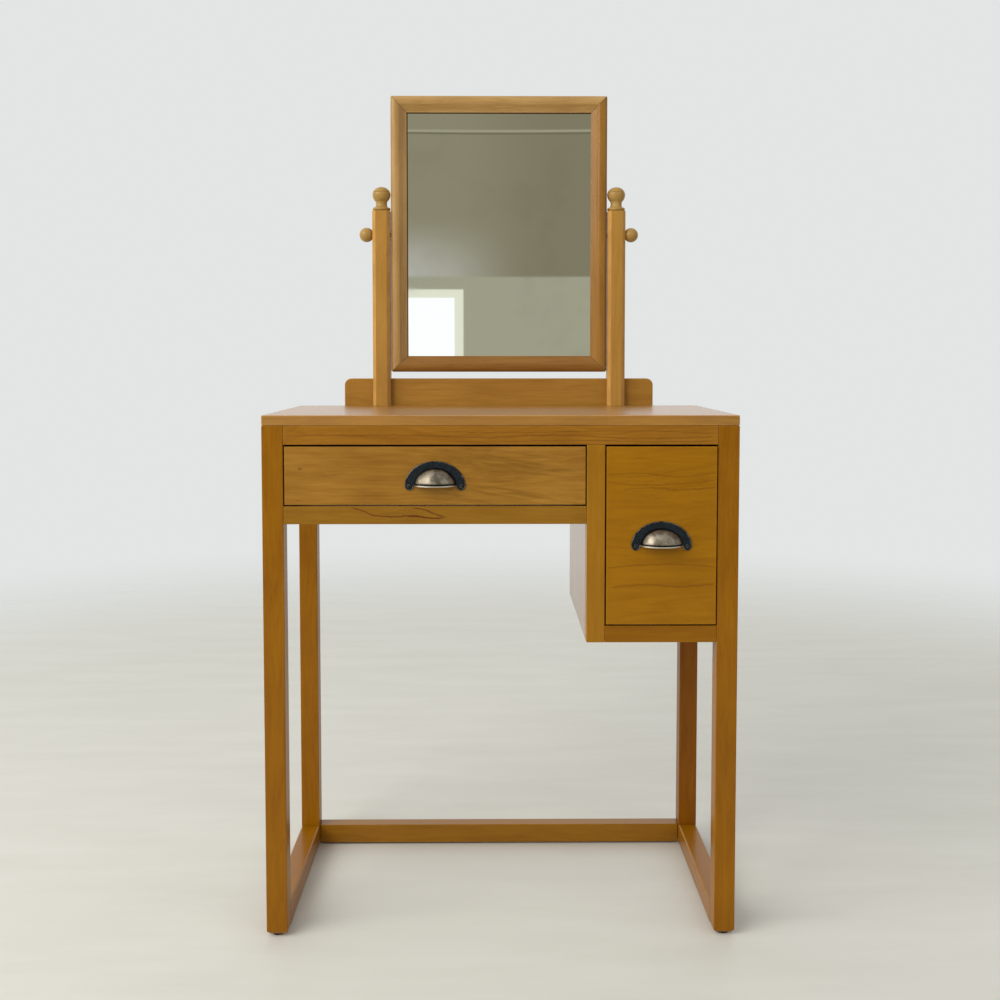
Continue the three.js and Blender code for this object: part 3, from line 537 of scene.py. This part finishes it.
dress("table_top", wood("top_lacquer", TOP, "X", 0.5, 0.1, gloss=0.46, lacquer=0.8,
      wear_and_highlight=0.9, coat_blur=0.26, shine=0.6), 1.4, 4)
dress("front_top_rail", wood("top_rail_wood", TOP_RAIL, "X", 0.55, 0.1,
      marks=line_marks("front_top_rail", TOP_RAIL_LINES, TOP_RAIL_LINE, 0.55)))
dress("drawer_rail", wood("drawer_rail_wood", DRAWER_RAIL, "X", 0.55, 0.06,
      marks=line_marks("drawer_rail", DRAWER_RAIL_STREAKS, DRAWER_RAIL_STREAK, 0.85)))
dress("divider_stile", wood("stile_wood", STILE, "Z", 0.45))
dress("pedestal_bottom_rail", wood("bottom_rail_wood", BOTTOM_RAIL, "X", 0.5, lacquer=0.05))
for side in ("left", "right"):
    for row in ("front", "rear"):
        leg = f"{side}_{row}_leg"
        # the rear right leg gets painted shade: a darker colour than the other legs
        colour = SHADED_REAR_RIGHT_LEG if leg == "right_rear_leg" else LEG
        dress(leg, wood(f"{leg}_wood", colour, "Z", 0.65, lacquer=0.05), 1.2)
        dress(f"{side}_{row}_foot_pad", rubber_material(), 0.5, 2)
    dress(f"{side}_floor_runner", wood(f"{side}_runner_wood", LEG, "Y", 0.42), 2.6, 4)
    dress(f"{side}_side_panel", wood(f"{side}_panel_wood", LEG, "Z", 0.5, 0.06), 0.6)
    dress(f"{side}_mirror_post", wood(f"{side}_post_wood", POST, "Z", 0.4), 0.6)
dress("rear_stretcher", wood("stretcher_wood", STRETCHER, "X", 0.5), 1.2)
for node, grain in (("pedestal_inner_panel", "Z"), ("back_apron", "X"), ("pedestal_back_panel", "Z")):
    dress(node, wood(f"{node}_wood", LEG, grain, 0.5, 0.06, lacquer=0.8), 0.6)
dress("stand_rail", wood("stand_rail_wood", STAND, "X", 0.5, 0.06), 1.4)
dress("shallow_drawer_front", wood("shallow_front_wood", LEFT_DRAWER, "X", 0.85, 0.05, wear_and_highlight=0.7,
      marks=all_marks(knot_mark("shallow_drawer_front", KNOT, 0.052, 0.38, 1.7 * MM),
                      sweep_marks("shallow_drawer_front", SWEEP, 0.55, -0.14, 0.5))), 1.3)
dress("deep_drawer_front", wood("deep_front_wood", RIGHT_DRAWER, "X", 0.45, 0.07, lacquer=0.08,
      wear_and_highlight=0.8, marks=line_marks("deep_drawer_front", RIGHT_DRAWER_LINES, RIGHT_DRAWER_LINE, 0.45)), 1.6)
for drawer in ("shallow_drawer", "deep_drawer"):
    for part, grain in (("left_side", "Y"), ("right_side", "Y"), ("back", "X")):
        dress_bare(f"{drawer}_{part}", grain)
    dress(f"{drawer}_bottom", plywood_material(f"{drawer}_ply"), 0.3, 2)
    for side in ("left", "right"):
        dress_bare(f"{drawer}_{side}_runner", "Y")
dress("mirror_glass", mirror_glass_material(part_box("mirror_frame_left")[1].x,
                                            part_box("mirror_frame_top")[0].z), 0.4, 2)
dress("mirror_backing_board", plywood_material("backing_ply", "Z"), 0.4, 2)


# ---------------------------------------------------------------- mirror frame, in millimetres

MEMBER = size("mirror_frame_bottom").z / MM
THICKNESS = size("mirror_frame_bottom").y / MM
FRAME_CORNER = 3.0
CROWN_WIDTH = 18.0
CROWN_RISE = 6.0
CROWN_END = math.radians(62)
ARRIS = 1.6
LIP_RADIUS = 1.2
SLOPE_HOLLOW = 0.88
INNER_THICKNESS = 13.0
REBATE_WIDTH = 8.0
REBATE_DEPTH = 10.5
MITRE_GAP = 0.1


def moulding_profile():
    """The moulding as (in from the outer edge, forward from the back): a broad crown, a soft
    arris, and a slightly hollow slope down to the glass."""
    half_crown = CROWN_WIDTH / 2
    crown = arc((half_crown, THICKNESS - CROWN_RISE), (half_crown, CROWN_RISE), math.pi,
                CROWN_END, 16)
    start = (crown[-1][0] + ARRIS, crown[-1][1] - ARRIS * 0.62)
    softening = [(crown[-1][0] + ARRIS * 0.5, crown[-1][1] - ARRIS * 0.22)]
    width = MEMBER - LIP_RADIUS - start[0]
    drop = start[1] - INNER_THICKNESS
    slope = [(start[0] + width * share, start[1] - drop * share ** SLOPE_HOLLOW)
             for share in (0, 0.15, 0.3, 0.5, 0.7, 0.85, 1.0)]
    lip = arc((MEMBER - LIP_RADIUS, INNER_THICKNESS - LIP_RADIUS), (LIP_RADIUS, LIP_RADIUS),
              QUARTER * 0.8, 0, 4)
    rebate = [(MEMBER, REBATE_DEPTH), (MEMBER - REBATE_WIDTH, REBATE_DEPTH),
              (MEMBER - REBATE_WIDTH, 0)]
    back = [(1.0, 0), (0.3, 0.3), (0, 1.0)]
    return [*crown, *softening, *slope, *lip, *rebate, *back]


def frame_member(name, node, side, colour):
    """A mitred member: side is the direction from the mirror's middle to it, 0 for right, then
    counted a quarter turn each, seen from the front. Its cross-sections stand closer together
    near the ends, where the frame's outer corners are rounded."""
    along_x = side % 2 == 1
    box_size = size(node)
    half_length = (box_size.x if along_x else box_size.z) / 2 / MM + MITRE_GAP
    middle = centre("mirror_glass")
    low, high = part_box(node)
    outer = {0: high.x - middle.x, 1: high.z - middle.z, 2: middle.x - low.x, 3: middle.z - low.z}
    outer_reach = outer[side] / MM
    corner_cut = FRAME_CORNER * (1 - math.sqrt(0.5))
    profile = moulding_profile()
    shares = (0, 0.84, 0.88, 0.92, 0.96, 1)
    stations = [(-1, share) for share in reversed(shares)] + [(1, share) for share in shares]

    made = bmesh.new()
    rows = []
    for sign, share in stations:
        row = []
        for inwards, forward in profile:
            end = MEMBER - max(inwards, corner_cut)
            along = half_length - MEMBER + share * end - MITRE_GAP
            from_corner = FRAME_CORNER - (half_length - along)
            rounding = 0.0
            if from_corner > 0:
                rounding = FRAME_CORNER - math.sqrt(FRAME_CORNER ** 2 - from_corner ** 2)
            reach = outer_reach - max(inwards, rounding)
            across = sign * along
            # the plane of the frame is turned so that its outward direction is the side's
            angle = side * QUARTER
            x = reach * math.cos(angle) - across * math.sin(angle)
            z = reach * math.sin(angle) + across * math.cos(angle)
            row.append(made.verts.new(Vector((middle.x + x * MM, high.y - forward * MM,
                                              middle.z + z * MM))))
        rows.append([*row, row[0]])
    grid_faces(made, rows)
    made.faces.new(rows[0][:-1])
    made.faces.new([*reversed(rows[-1][:-1])])
    material = wood(f"{name}_wood", colour, "X" if along_x else "Z", 0.65, wear_and_highlight=0.0)
    add_piece(name, mesh_from(name, made, 38), "mirror", [material], [node])


for side, place in enumerate(("right", "top", "left", "bottom")):
    # each member gets its own colour: painted light on the left and top, painted shade on the right and
    # bottom
    frame_member(f"{place}_moulding", f"mirror_frame_{place}", side, MIRROR_FRAME_LIT_AND_SHADED[place])


# ---------------------------------------------------------------- turnings, in millimetres

BEAD_RADIUS = 14.6
BEAD_HALF = 2.9
NECK_RADIUS = 9.0
NECK_HEIGHT = 12.5
BALL_RADIUS = 14.7
BALL_BELOW = 15.0
BALL_ABOVE = 12.6
BALL_LINE_ANGLE = math.radians(17)
BALL_LINE_HALF = 0.45
BALL_LINE_DEPTH = 0.55
FINIAL_SEAM = 0.2


def finial_profile(height):
    """Bead, cove, neck and ball, with one fine cut line round the ball; heights from the foot."""
    bead_middle = BEAD_RADIUS - BEAD_HALF
    bead = arc((bead_middle, BEAD_HALF), (BEAD_HALF, BEAD_HALF - 0.1), -QUARTER, QUARTER, 10)
    cove = arc((bead_middle, NECK_HEIGHT), (bead_middle - NECK_RADIUS, NECK_HEIGHT - 2 * BEAD_HALF),
               -QUARTER, -2 * QUARTER, 8)
    equator = height - BALL_ABOVE
    under = arc((0, equator), (BALL_RADIUS, BALL_BELOW), -math.acos(NECK_RADIUS / BALL_RADIUS), 0, 14)
    dome = arc((0, equator), (BALL_RADIUS, BALL_ABOVE), 0, QUARTER, 18)
    radius = BALL_RADIUS * math.cos(BALL_LINE_ANGLE)
    middle = equator + BALL_ABOVE * math.sin(BALL_LINE_ANGLE)
    cut = [(radius, middle - BALL_LINE_HALF), (radius - BALL_LINE_DEPTH, middle),
           (radius - 0.05, middle + BALL_LINE_HALF)]
    lower = [point for point in dome if point[1] < cut[0][1]]
    upper = [point for point in dome if point[1] > cut[-1][1]]
    return [(0, 0), *bead, *cove[1:], *under[1:], *lower[1:], *cut, *upper[:-1], (0, height)]


def knob_profile(radius, length):
    """A ball with a flat, slightly eased foot against the post."""
    flat = math.asin((length - radius) / radius)
    ball = arc((0, length - radius), (radius, radius), -flat, QUARTER, 26)
    foot = ball[0][0]
    return [(0, 0), (foot - 0.6, 0), (foot + 0.1, 0.5), *ball[2:-1], (0, length)]


def to_metres(profile):
    return [(radius * MM, height * MM) for radius, height in profile]


def add_turning(name, node, body, profile, foot, grain, turn):
    turning = lathe(bmesh.new(), to_metres(profile), foot, turn=turn)
    material = wood(f"{node}_wood", TURNED, grain, 0.4, wear_and_highlight=0.0)
    add_piece(name, mesh_from(node, turning, 32), body, [material], [node])


def add_finial(side):
    node = f"{side}_finial"
    foot = centre(node)
    foot.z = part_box(f"{side}_mirror_post")[1].z + FINIAL_SEAM * MM
    height = (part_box(node)[1].z - foot.z) / MM
    add_turning(f"{node}_turning", node, "table", finial_profile(height), foot, "Z",
                Matrix.Identity(4))


def add_knob(side, outward):
    """outward is the way that the knob points along X: -1 or 1."""
    node = f"{side}_knob"
    low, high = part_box(node)
    foot = centre(node)
    foot.x = high.x if outward < 0 else low.x
    profile = knob_profile(size(node).y / 2 / MM, size(node).x / MM)
    add_turning(f"{node}_ball", node, node, profile, foot, "X",
                Matrix.Rotation(outward * QUARTER, 4, "Y"))


for side, outward in (("left", -1), ("right", 1)):
    add_finial(side)
    add_knob(side, outward)


# ---------------------------------------------------------------- cup pulls, in millimetres

FLANGE_HALF_WIDTH = 41.2
FLANGE_CROWN = 34.0
EAR_RADIUS = 6.0
CUP_HALF_WIDTH = 29.0
CUP_HEIGHT = 25.0
CUP_REACH = 21.0
CUP_WALL = 1.8
CUP_STATIONS = 48
FLANGE_THICKNESS = 1.8
# heights above the cup's edge: the lip's top, and where the groove starts to widen to the dome
LIP_TOP = 1.7
GROOVE_TOP = 2.6
GROOVE_DEPTH = 0.9
DOME_STEP = 0.5
# the cup's rows, as shares of its height from lip to crown: close together at the lip
CUP_STEPS = [0.0, 0.03, 0.06, 0.067, 0.076, 0.1, 0.13, 0.18, 0.24, 0.31, 0.38, 0.46, 0.54, 0.62,
             0.7, 0.77, 0.83, 0.88, 0.92, 0.955, 0.98, 0.995, 1.0]


def flange_outline(inset):
    """The flange's outline, taken in by inset: a half ellipse with an ear hanging at each end."""
    ear = FLANGE_HALF_WIDTH - EAR_RADIUS
    small = EAR_RADIUS - inset
    crown = arc((0, 0), (FLANGE_HALF_WIDTH - inset, FLANGE_CROWN - inset), 0, math.pi, 56)
    right = arc((ear, 0), (small, small), -math.pi * 0.96, 0, 14)
    left = arc((-ear, 0), (small, small), -math.pi, -math.pi * 0.04, 14)
    foot = [(ear - EAR_RADIUS + inset * 0.4, inset), (-ear + EAR_RADIUS - inset * 0.4, inset)]
    return [*right[:-1], *crown, *left[1:], foot[1], foot[0]]


def flange_mesh(name, lip):
    """A thin plate with a rounded rim and a field sunk below it."""
    made = bmesh.new()
    # (in from the outline, forward from the drawer): side, rounded rim, step down to the field
    steps = [(0.0, 0.0), (0.0, 1.2), (0.25, 1.6), (0.7, FLANGE_THICKNESS), (1.2, 1.6), (1.6, 1.15),
             (2.3, 1.15)]
    rows = []
    for inset, forward in steps:
        row = [made.verts.new(lip + Vector((x * MM, -forward * MM, z * MM)))
               for x, z in flange_outline(inset)]
        rows.append([*row, row[0]])
    grid_faces(made, rows)
    # the raised rim is rubbed bright
    raised = {vert for row in rows[2:5] for vert in row}
    for face in made.faces:
        face.material_index = int(all(vert in raised for vert in face.verts))
    made.faces.new(rows[0][:-1])
    made.faces.new(rows[-1][:-1])
    return mesh_from(name, made, 50)


def cup_mesh(name, lip):
    """A quarter shell: a lip, a groove above it, and a dome a little smaller than the lip."""
    def surface(inset, swell):
        rows = []
        for step in range(CUP_STATIONS + 1):
            along = math.pi * step / CUP_STATIONS
            row = []
            for up in CUP_STEPS:
                out = swell(up * CUP_HEIGHT) - inset
                reach = math.sqrt(max(1 - up * up, 0))
                row.append(((CUP_HALF_WIDTH + out) * math.cos(along),
                            -(CUP_REACH + out) * reach * math.sin(along),
                            (CUP_HEIGHT + out) * up * math.sin(along)))
            rows.append(row)
        return rows

    def outer_swell(above_lip):
        if above_lip < LIP_TOP:
            return 0.0
        return -GROOVE_DEPTH + DOME_STEP * min(1, max(0, above_lip - GROOVE_TOP) / 2)

    made = bmesh.new()
    outer = surface(0.0, outer_swell)
    inner = surface(CUP_WALL, lambda above_lip: 0.0)
    to_verts = [[made.verts.new(lip + Vector(point) * MM)
                 for point in [*reversed(inside), *outside]]
                for inside, outside in zip(inner, outer)]
    grid_faces(made, [[*row, row[0]] for row in to_verts])
    return mesh_from(name, made, 50)


blackened = metal("blackened_iron", (6, 12, 18), (26, 38, 48), 0.34, 0.6, 380, 0.5, 0.5)
rubbed_rim = metal("rubbed_rim", (20, 26, 30), (122, 122, 114), 0.35, 0.5, 160, 0.9, 0.3)
dark_steel = metal("dark_steel", (30, 34, 38), (74, 74, 72), 0.35, 0.6, 500, 0.8, 0.3)
steel = metal("plated_steel", (150, 146, 138), (196, 192, 184), 0.25, 0.45, 500, 1.0, 0.2)

SLOT_WIDTH = 0.85
SLOT_TURN = 0.5


def slotted_head(made, place, radius, height, outward):
    """A domed screw head with a slot, standing on place towards outward along Y (-1 or 1)."""
    dome = arc((0, height * 0.35), (radius, height * 0.65), 0, QUARTER, 8)
    turn = Matrix.Rotation(-outward * QUARTER, 4, "X")
    head = bmesh.new()
    lathe(head, to_metres([(0, -0.4), (radius, -0.4), *dome[:-1], (0, height)]), Vector(), 40, turn)
    cutter = bmesh.new()
    bmesh.ops.create_cube(cutter, size=1.0, matrix=Matrix.Diagonal((
        3 * radius * MM, height * MM, SLOT_WIDTH * MM, 1)))
    bmesh.ops.transform(cutter, matrix=Matrix.Translation((0, outward * height * 1.15 * MM, 0)),
                        verts=cutter.verts)
    solids = []
    for label, solid in (("head", head), ("cutter", cutter)):
        solids.append(bpy.data.objects.new(label, mesh_from(label, solid)))
        scene.collection.objects.link(solids[-1])
    cut = solids[0].modifiers.new("slot", "BOOLEAN")
    cut.object = solids[1]
    cut.operation = "DIFFERENCE"
    cut.solver = "EXACT"
    result = solids[0].evaluated_get(bpy.context.evaluated_depsgraph_get()).to_mesh()
    result.transform(Matrix.Translation(place) @ Matrix.Rotation(SLOT_TURN, 4, "Y"))
    made.from_mesh(result)
    for solid in solids:
        bpy.data.objects.remove(solid)


def rubbed_cup(name, lip):
    """Pewter polished on the raised dome and lip, black where it meets the flange and in the
    groove above the lip."""
    material = metal(name, (112, 103, 88), (160, 150, 132), 0.32, 0.46, 110, 1.0, 0.1)
    tree = material.node_tree
    shader = tree.nodes["Principled BSDF"]
    place = tree.nodes.new("ShaderNodeTexCoord").outputs["Object"]
    split = add_node(tree, "ShaderNodeSeparateXYZ", {0: place}).outputs
    wobble = swing(tree, stretched_noise(tree, place, (190, 190, 190), 2.0), 3.0 * MM)
    forward = calc(tree, "ADD", calc(tree, "SUBTRACT", lip.y, split["Y"]), wobble)
    above = calc(tree, "SUBTRACT", split["Z"], lip.z)
    polished = remap(tree, forward, 4.0 * MM, 9.0 * MM)
    groove = calc(tree, "MULTIPLY", remap(tree, above, 1.3 * MM, 1.9 * MM),
                  remap(tree, above, 5.0 * MM, 3.0 * MM))
    lip_band = remap(tree, above, 1.9 * MM, 1.3 * MM)
    bright = calc(tree, "MAXIMUM", calc(tree, "MULTIPLY", polished,
                                        calc(tree, "SUBTRACT", 1.0, groove)), lip_band)
    pewter = shader.inputs["Base Color"].links[0].from_socket
    dome = blend_colour(tree, bright, srgb(24, 29, 34), pewter)
    tree.links.new(blend_colour(tree, lip_band, dome, srgb(212, 204, 188)),
                   shader.inputs["Base Color"])
    return material


def add_pull(drawer):
    node = f"{drawer}_cup_pull"
    low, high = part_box(node)
    lip = Vector(((low.x + high.x) / 2, high.y, low.z + EAR_RADIUS * MM))
    add_piece(f"{node}_flange", flange_mesh(f"{node}_flange", lip), drawer,
              [blackened, rubbed_rim], [node])
    add_piece(f"{node}_cup", cup_mesh(f"{node}_cup", lip), drawer,
              [rubbed_cup(f"{drawer}_pewter", lip)], [node])


# radius and height of the head, radius of the shank, length of its point
PULL_SCREW = (3.2, 1.6, 1.7, 2.0)
POST_SCREW = (6.5, 4.0, 3.0, 4.0)


def add_screw(node, body, sizes, outward, material):
    """A slotted screw along Y, its head towards outward (-1 or 1) and its point the other way."""
    head_radius, head_height, shank_radius, point = sizes
    low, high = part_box(node)
    under_head = centre(node)
    if outward < 0:
        under_head.y = low.y + head_height * MM
        length = (high.y - under_head.y) / MM
    else:
        under_head.y = high.y - head_height * MM
        length = (under_head.y - low.y) / MM
    made = bmesh.new()
    slotted_head(made, under_head, head_radius, head_height, outward)
    shank = [(0, 0), (shank_radius, 0), (shank_radius, length - point), (0, length)]
    lathe(made, to_metres(shank), under_head, 24, Matrix.Rotation(outward * QUARTER, 4, "X"))
    add_piece(f"{node}_detail", mesh_from(node, made), body, [material], [node])


for drawer in ("shallow_drawer", "deep_drawer"):
    add_pull(drawer)
    for index in (1, 2):
        add_screw(f"{drawer}_pull_screw_{index}", drawer, PULL_SCREW, -1, dark_steel)

for side in ("left", "right"):
    for index in (1, 2):
        add_screw(f"{side}_post_screw_{index}", "table", POST_SCREW, 1, steel)
    dress(f"{side}_stud", steel, 0.3, 2)


# ---------------------------------------------------------------- pins behind the mirror

PIN_MARGIN = 7 * MM
PIN_PROFILE = [(0, -0.2), (1.5, -0.2), (1.5, 0.25), (1.2, 0.5), (0, 0.6)]


def backing_pins():
    """Small nail heads round the edge of the backing board, on its back."""
    low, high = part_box("mirror_backing_board")
    made = bmesh.new()
    places = []
    for share in (0.1, 0.37, 0.63, 0.9):
        across = low.x + (high.x - low.x) * share
        places += [(across, low.z + PIN_MARGIN), (across, high.z - PIN_MARGIN)]
    for share in (0.22, 0.5, 0.78):
        up = low.z + (high.z - low.z) * share
        places += [(low.x + PIN_MARGIN, up), (high.x - PIN_MARGIN, up)]
    backwards = Matrix.Rotation(-QUARTER, 4, "X")
    for x, z in places:
        lathe(made, to_metres(PIN_PROFILE), Vector((x, high.y, z)), 16, backwards)
    return mesh_from("backing_pins", made)


add_piece("backing_pins", backing_pins(), "mirror", [steel])


# ---------------------------------------------------------------- floor, light and camera

# metres from the object at which the floor starts to fade, and where it is gone
FLOOR_SOLID = 1.5
FLOOR_END = 3.4
BACKGROUND = srgb(226, 229, 228)

# The room towards -Y that the mirror shows. Heights and sideways places in it are the Z and X of
# the unit direction towards them.
WALL_TOP = 0.068
COVING = (0.1844, 0.1864)
COVING_SHADE = (0.1830, 0.1842)
SOFTBOX_FRAME_X, SOFTBOX_FRAME_Z = (-0.075, -0.0221), (-0.03, 0.0576)
SOFTBOX_X, SOFTBOX_Z = (-0.07, -0.0296), (-0.026, 0.0506)
LINE_SOFTNESS = 0.0004
SOFTBOX_LIGHT = (1.15, 1.2, 1.22, 1)


def floor_material():
    """Pale floor that fades into the background away from the object."""
    material, tree, shader, place, noise = material_with_noise("pale_floor", (3, 14, 3), 4.0)
    colour = blend_colour(tree, noise, srgb(206, 204, 192), srgb(222, 220, 210))
    tree.links.new(colour, shader.inputs["Base Color"])
    shader.inputs["Roughness"].default_value = 0.6
    away = add_node(tree, "ShaderNodeVectorMath", {0: place}, operation="LENGTH").outputs["Value"]
    fade = remap(tree, away, FLOOR_SOLID, FLOOR_END)
    clear = tree.nodes.new("ShaderNodeBsdfTransparent")
    mixed = add_node(tree, "ShaderNodeMixShader", {0: fade, 1: shader.outputs[0],
                                                   2: clear.outputs[0]})
    tree.links.new(mixed.outputs[0], tree.nodes["Material Output"].inputs["Surface"])
    return material


def add_floor():
    made = bmesh.new()
    bmesh.ops.create_circle(made, cap_ends=True, segments=96, radius=FLOOR_END + 0.1)
    mesh = bpy.data.meshes.new("floor")
    made.to_mesh(mesh)
    made.free()
    mesh.materials.append(floor_material())
    floor = bpy.data.objects.new("floor", mesh)
    scene.collection.objects.link(floor)


def step_between(tree, value, low, high):
    """1 where value lies between low and high, with slightly soft sides."""
    rises = remap(tree, value, low - LINE_SOFTNESS, low + LINE_SOFTNESS)
    falls = remap(tree, value, high + LINE_SOFTNESS, high - LINE_SOFTNESS)
    return calc(tree, "MULTIPLY", rises, falls)


def rectangle(tree, split, wide, high):
    """1 inside the given X and Z of a direction."""
    return calc(tree, "MULTIPLY", step_between(tree, split["X"], *wide),
                step_between(tree, split["Z"], *high))


def far_room(tree, split):
    """A dim ceiling with a coving line, a paler wall under it, and a bright softbox at the left."""
    ceiling = blend_colour(tree, remap(tree, split["X"], -0.04, 0.06), srgb(146, 140, 118),
                           srgb(134, 128, 106))
    glow = calc(tree, "MULTIPLY", remap(tree, split["X"], 0.03, -0.075),
                remap(tree, split["Z"], 0.12, 0.066))
    ceiling = blend_colour(tree, glow, ceiling, srgb(190, 188, 180))
    lower = remap(tree, split["Z"], WALL_TOP + 0.001, WALL_TOP - 0.001)
    shown = blend_colour(tree, lower, ceiling, srgb(168, 166, 146))
    for mask, colour in (
            (step_between(tree, split["Z"], *COVING), srgb(166, 162, 140)),
            (step_between(tree, split["Z"], *COVING_SHADE), srgb(112, 106, 84)),
            (rectangle(tree, split, SOFTBOX_FRAME_X, SOFTBOX_FRAME_Z), srgb(238, 238, 220)),
            (rectangle(tree, split, SOFTBOX_X, SOFTBOX_Z), SOFTBOX_LIGHT)):
        shown = blend_colour(tree, mask, shown, colour)
    return shown


def make_world():
    """A pale backdrop for the camera; for everything else a pale room, dimmer towards -Y, where
    the mirror looks."""
    world = bpy.data.worlds.new("studio")
    scene.world = world
    world.use_nodes = True
    tree = world.node_tree
    tree.nodes.clear()
    toward = tree.nodes.new("ShaderNodeTexCoord").outputs["Generated"]
    split = add_node(tree, "ShaderNodeSeparateXYZ", {0: toward}).outputs
    room = blend_colour(tree, remap(tree, split["Z"], -0.3, 0.5), srgb(205, 203, 196),
                        srgb(232, 234, 236))
    # the light comes mostly from the left, and from the pale wall behind the table
    sideways = remap(tree, split["X"], -1.0, 1.0, 1.25, 0.45, smooth=False)
    sideways = calc(tree, "MAXIMUM", sideways, remap(tree, split["Y"], 0.2, 0.8, 0.0, 1.25))
    room = add_node(tree, "ShaderNodeVectorMath", {0: room, "Scale": sideways},
                    operation="SCALE").outputs[0]
    behind = remap(tree, calc(tree, "MULTIPLY", split["Y"], -1.0), 0.86, 0.95)
    lit = blend_colour(tree, behind, room, far_room(tree, split))
    seen = tree.nodes.new("ShaderNodeLightPath").outputs["Is Camera Ray"]
    lights = add_node(tree, "ShaderNodeBackground", {"Color": lit, "Strength": 1.0})
    backdrop = add_node(tree, "ShaderNodeBackground", {"Color": BACKGROUND, "Strength": 1.0})
    mixed = add_node(tree, "ShaderNodeMixShader", {0: seen, 1: lights.outputs[0],
                                                   2: backdrop.outputs[0]})
    made = tree.nodes.new("ShaderNodeOutputWorld")
    tree.links.new(mixed.outputs[0], made.inputs["Surface"])


LIGHT_TARGET = Vector((0, 0, 0.6))
LIGHT_COLOUR = (1.0, 0.985, 0.96)


def add_light(name, place, width, height, power):
    """A soft panel of light that faces the middle of the object."""
    lamp = bpy.data.lights.new(name, "AREA")
    lamp.shape = "RECTANGLE"
    lamp.size = width
    lamp.size_y = height
    lamp.energy = power
    lamp.color = LIGHT_COLOUR
    light = bpy.data.objects.new(name, lamp)
    scene.collection.objects.link(light)
    light.location = place
    light.rotation_euler = (LIGHT_TARGET - Vector(place)).to_track_quat("-Z", "Y").to_euler()


CAMERA_LENS = 42.75
CAMERA_SHIFT = -0.075
CAMERA_ASIDE = -0.015
CAMERA_DISTANCE = 1.608
CAMERA_HEIGHT = 0.802
CAMERA_DOWN = 3.21
CAMERA_TURN = -0.49


def add_camera():
    """In front of the table and nearly level, so that the uprights stay nearly upright."""
    lens = bpy.data.cameras.new("camera")
    lens.lens = CAMERA_LENS
    lens.sensor_width = 36.0
    lens.shift_y = CAMERA_SHIFT
    lens.clip_end = 60
    camera = bpy.data.objects.new("camera", lens)
    scene.collection.objects.link(camera)
    table_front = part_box("table_top")[0].y
    camera.location = (CAMERA_ASIDE, table_front - CAMERA_DISTANCE, CAMERA_HEIGHT)
    camera.rotation_euler = (math.radians(90 - CAMERA_DOWN), 0, math.radians(CAMERA_TURN))
    scene.camera = camera


add_floor()
make_world()
add_light("key", (-3.0, -2.4, 2.7), 3.2, 2.8, 124)
add_light("fill", (2.8, -2.4, 1.8), 2.4, 2.4, 13)
add_camera()
scene.view_settings.view_transform = "Standard"
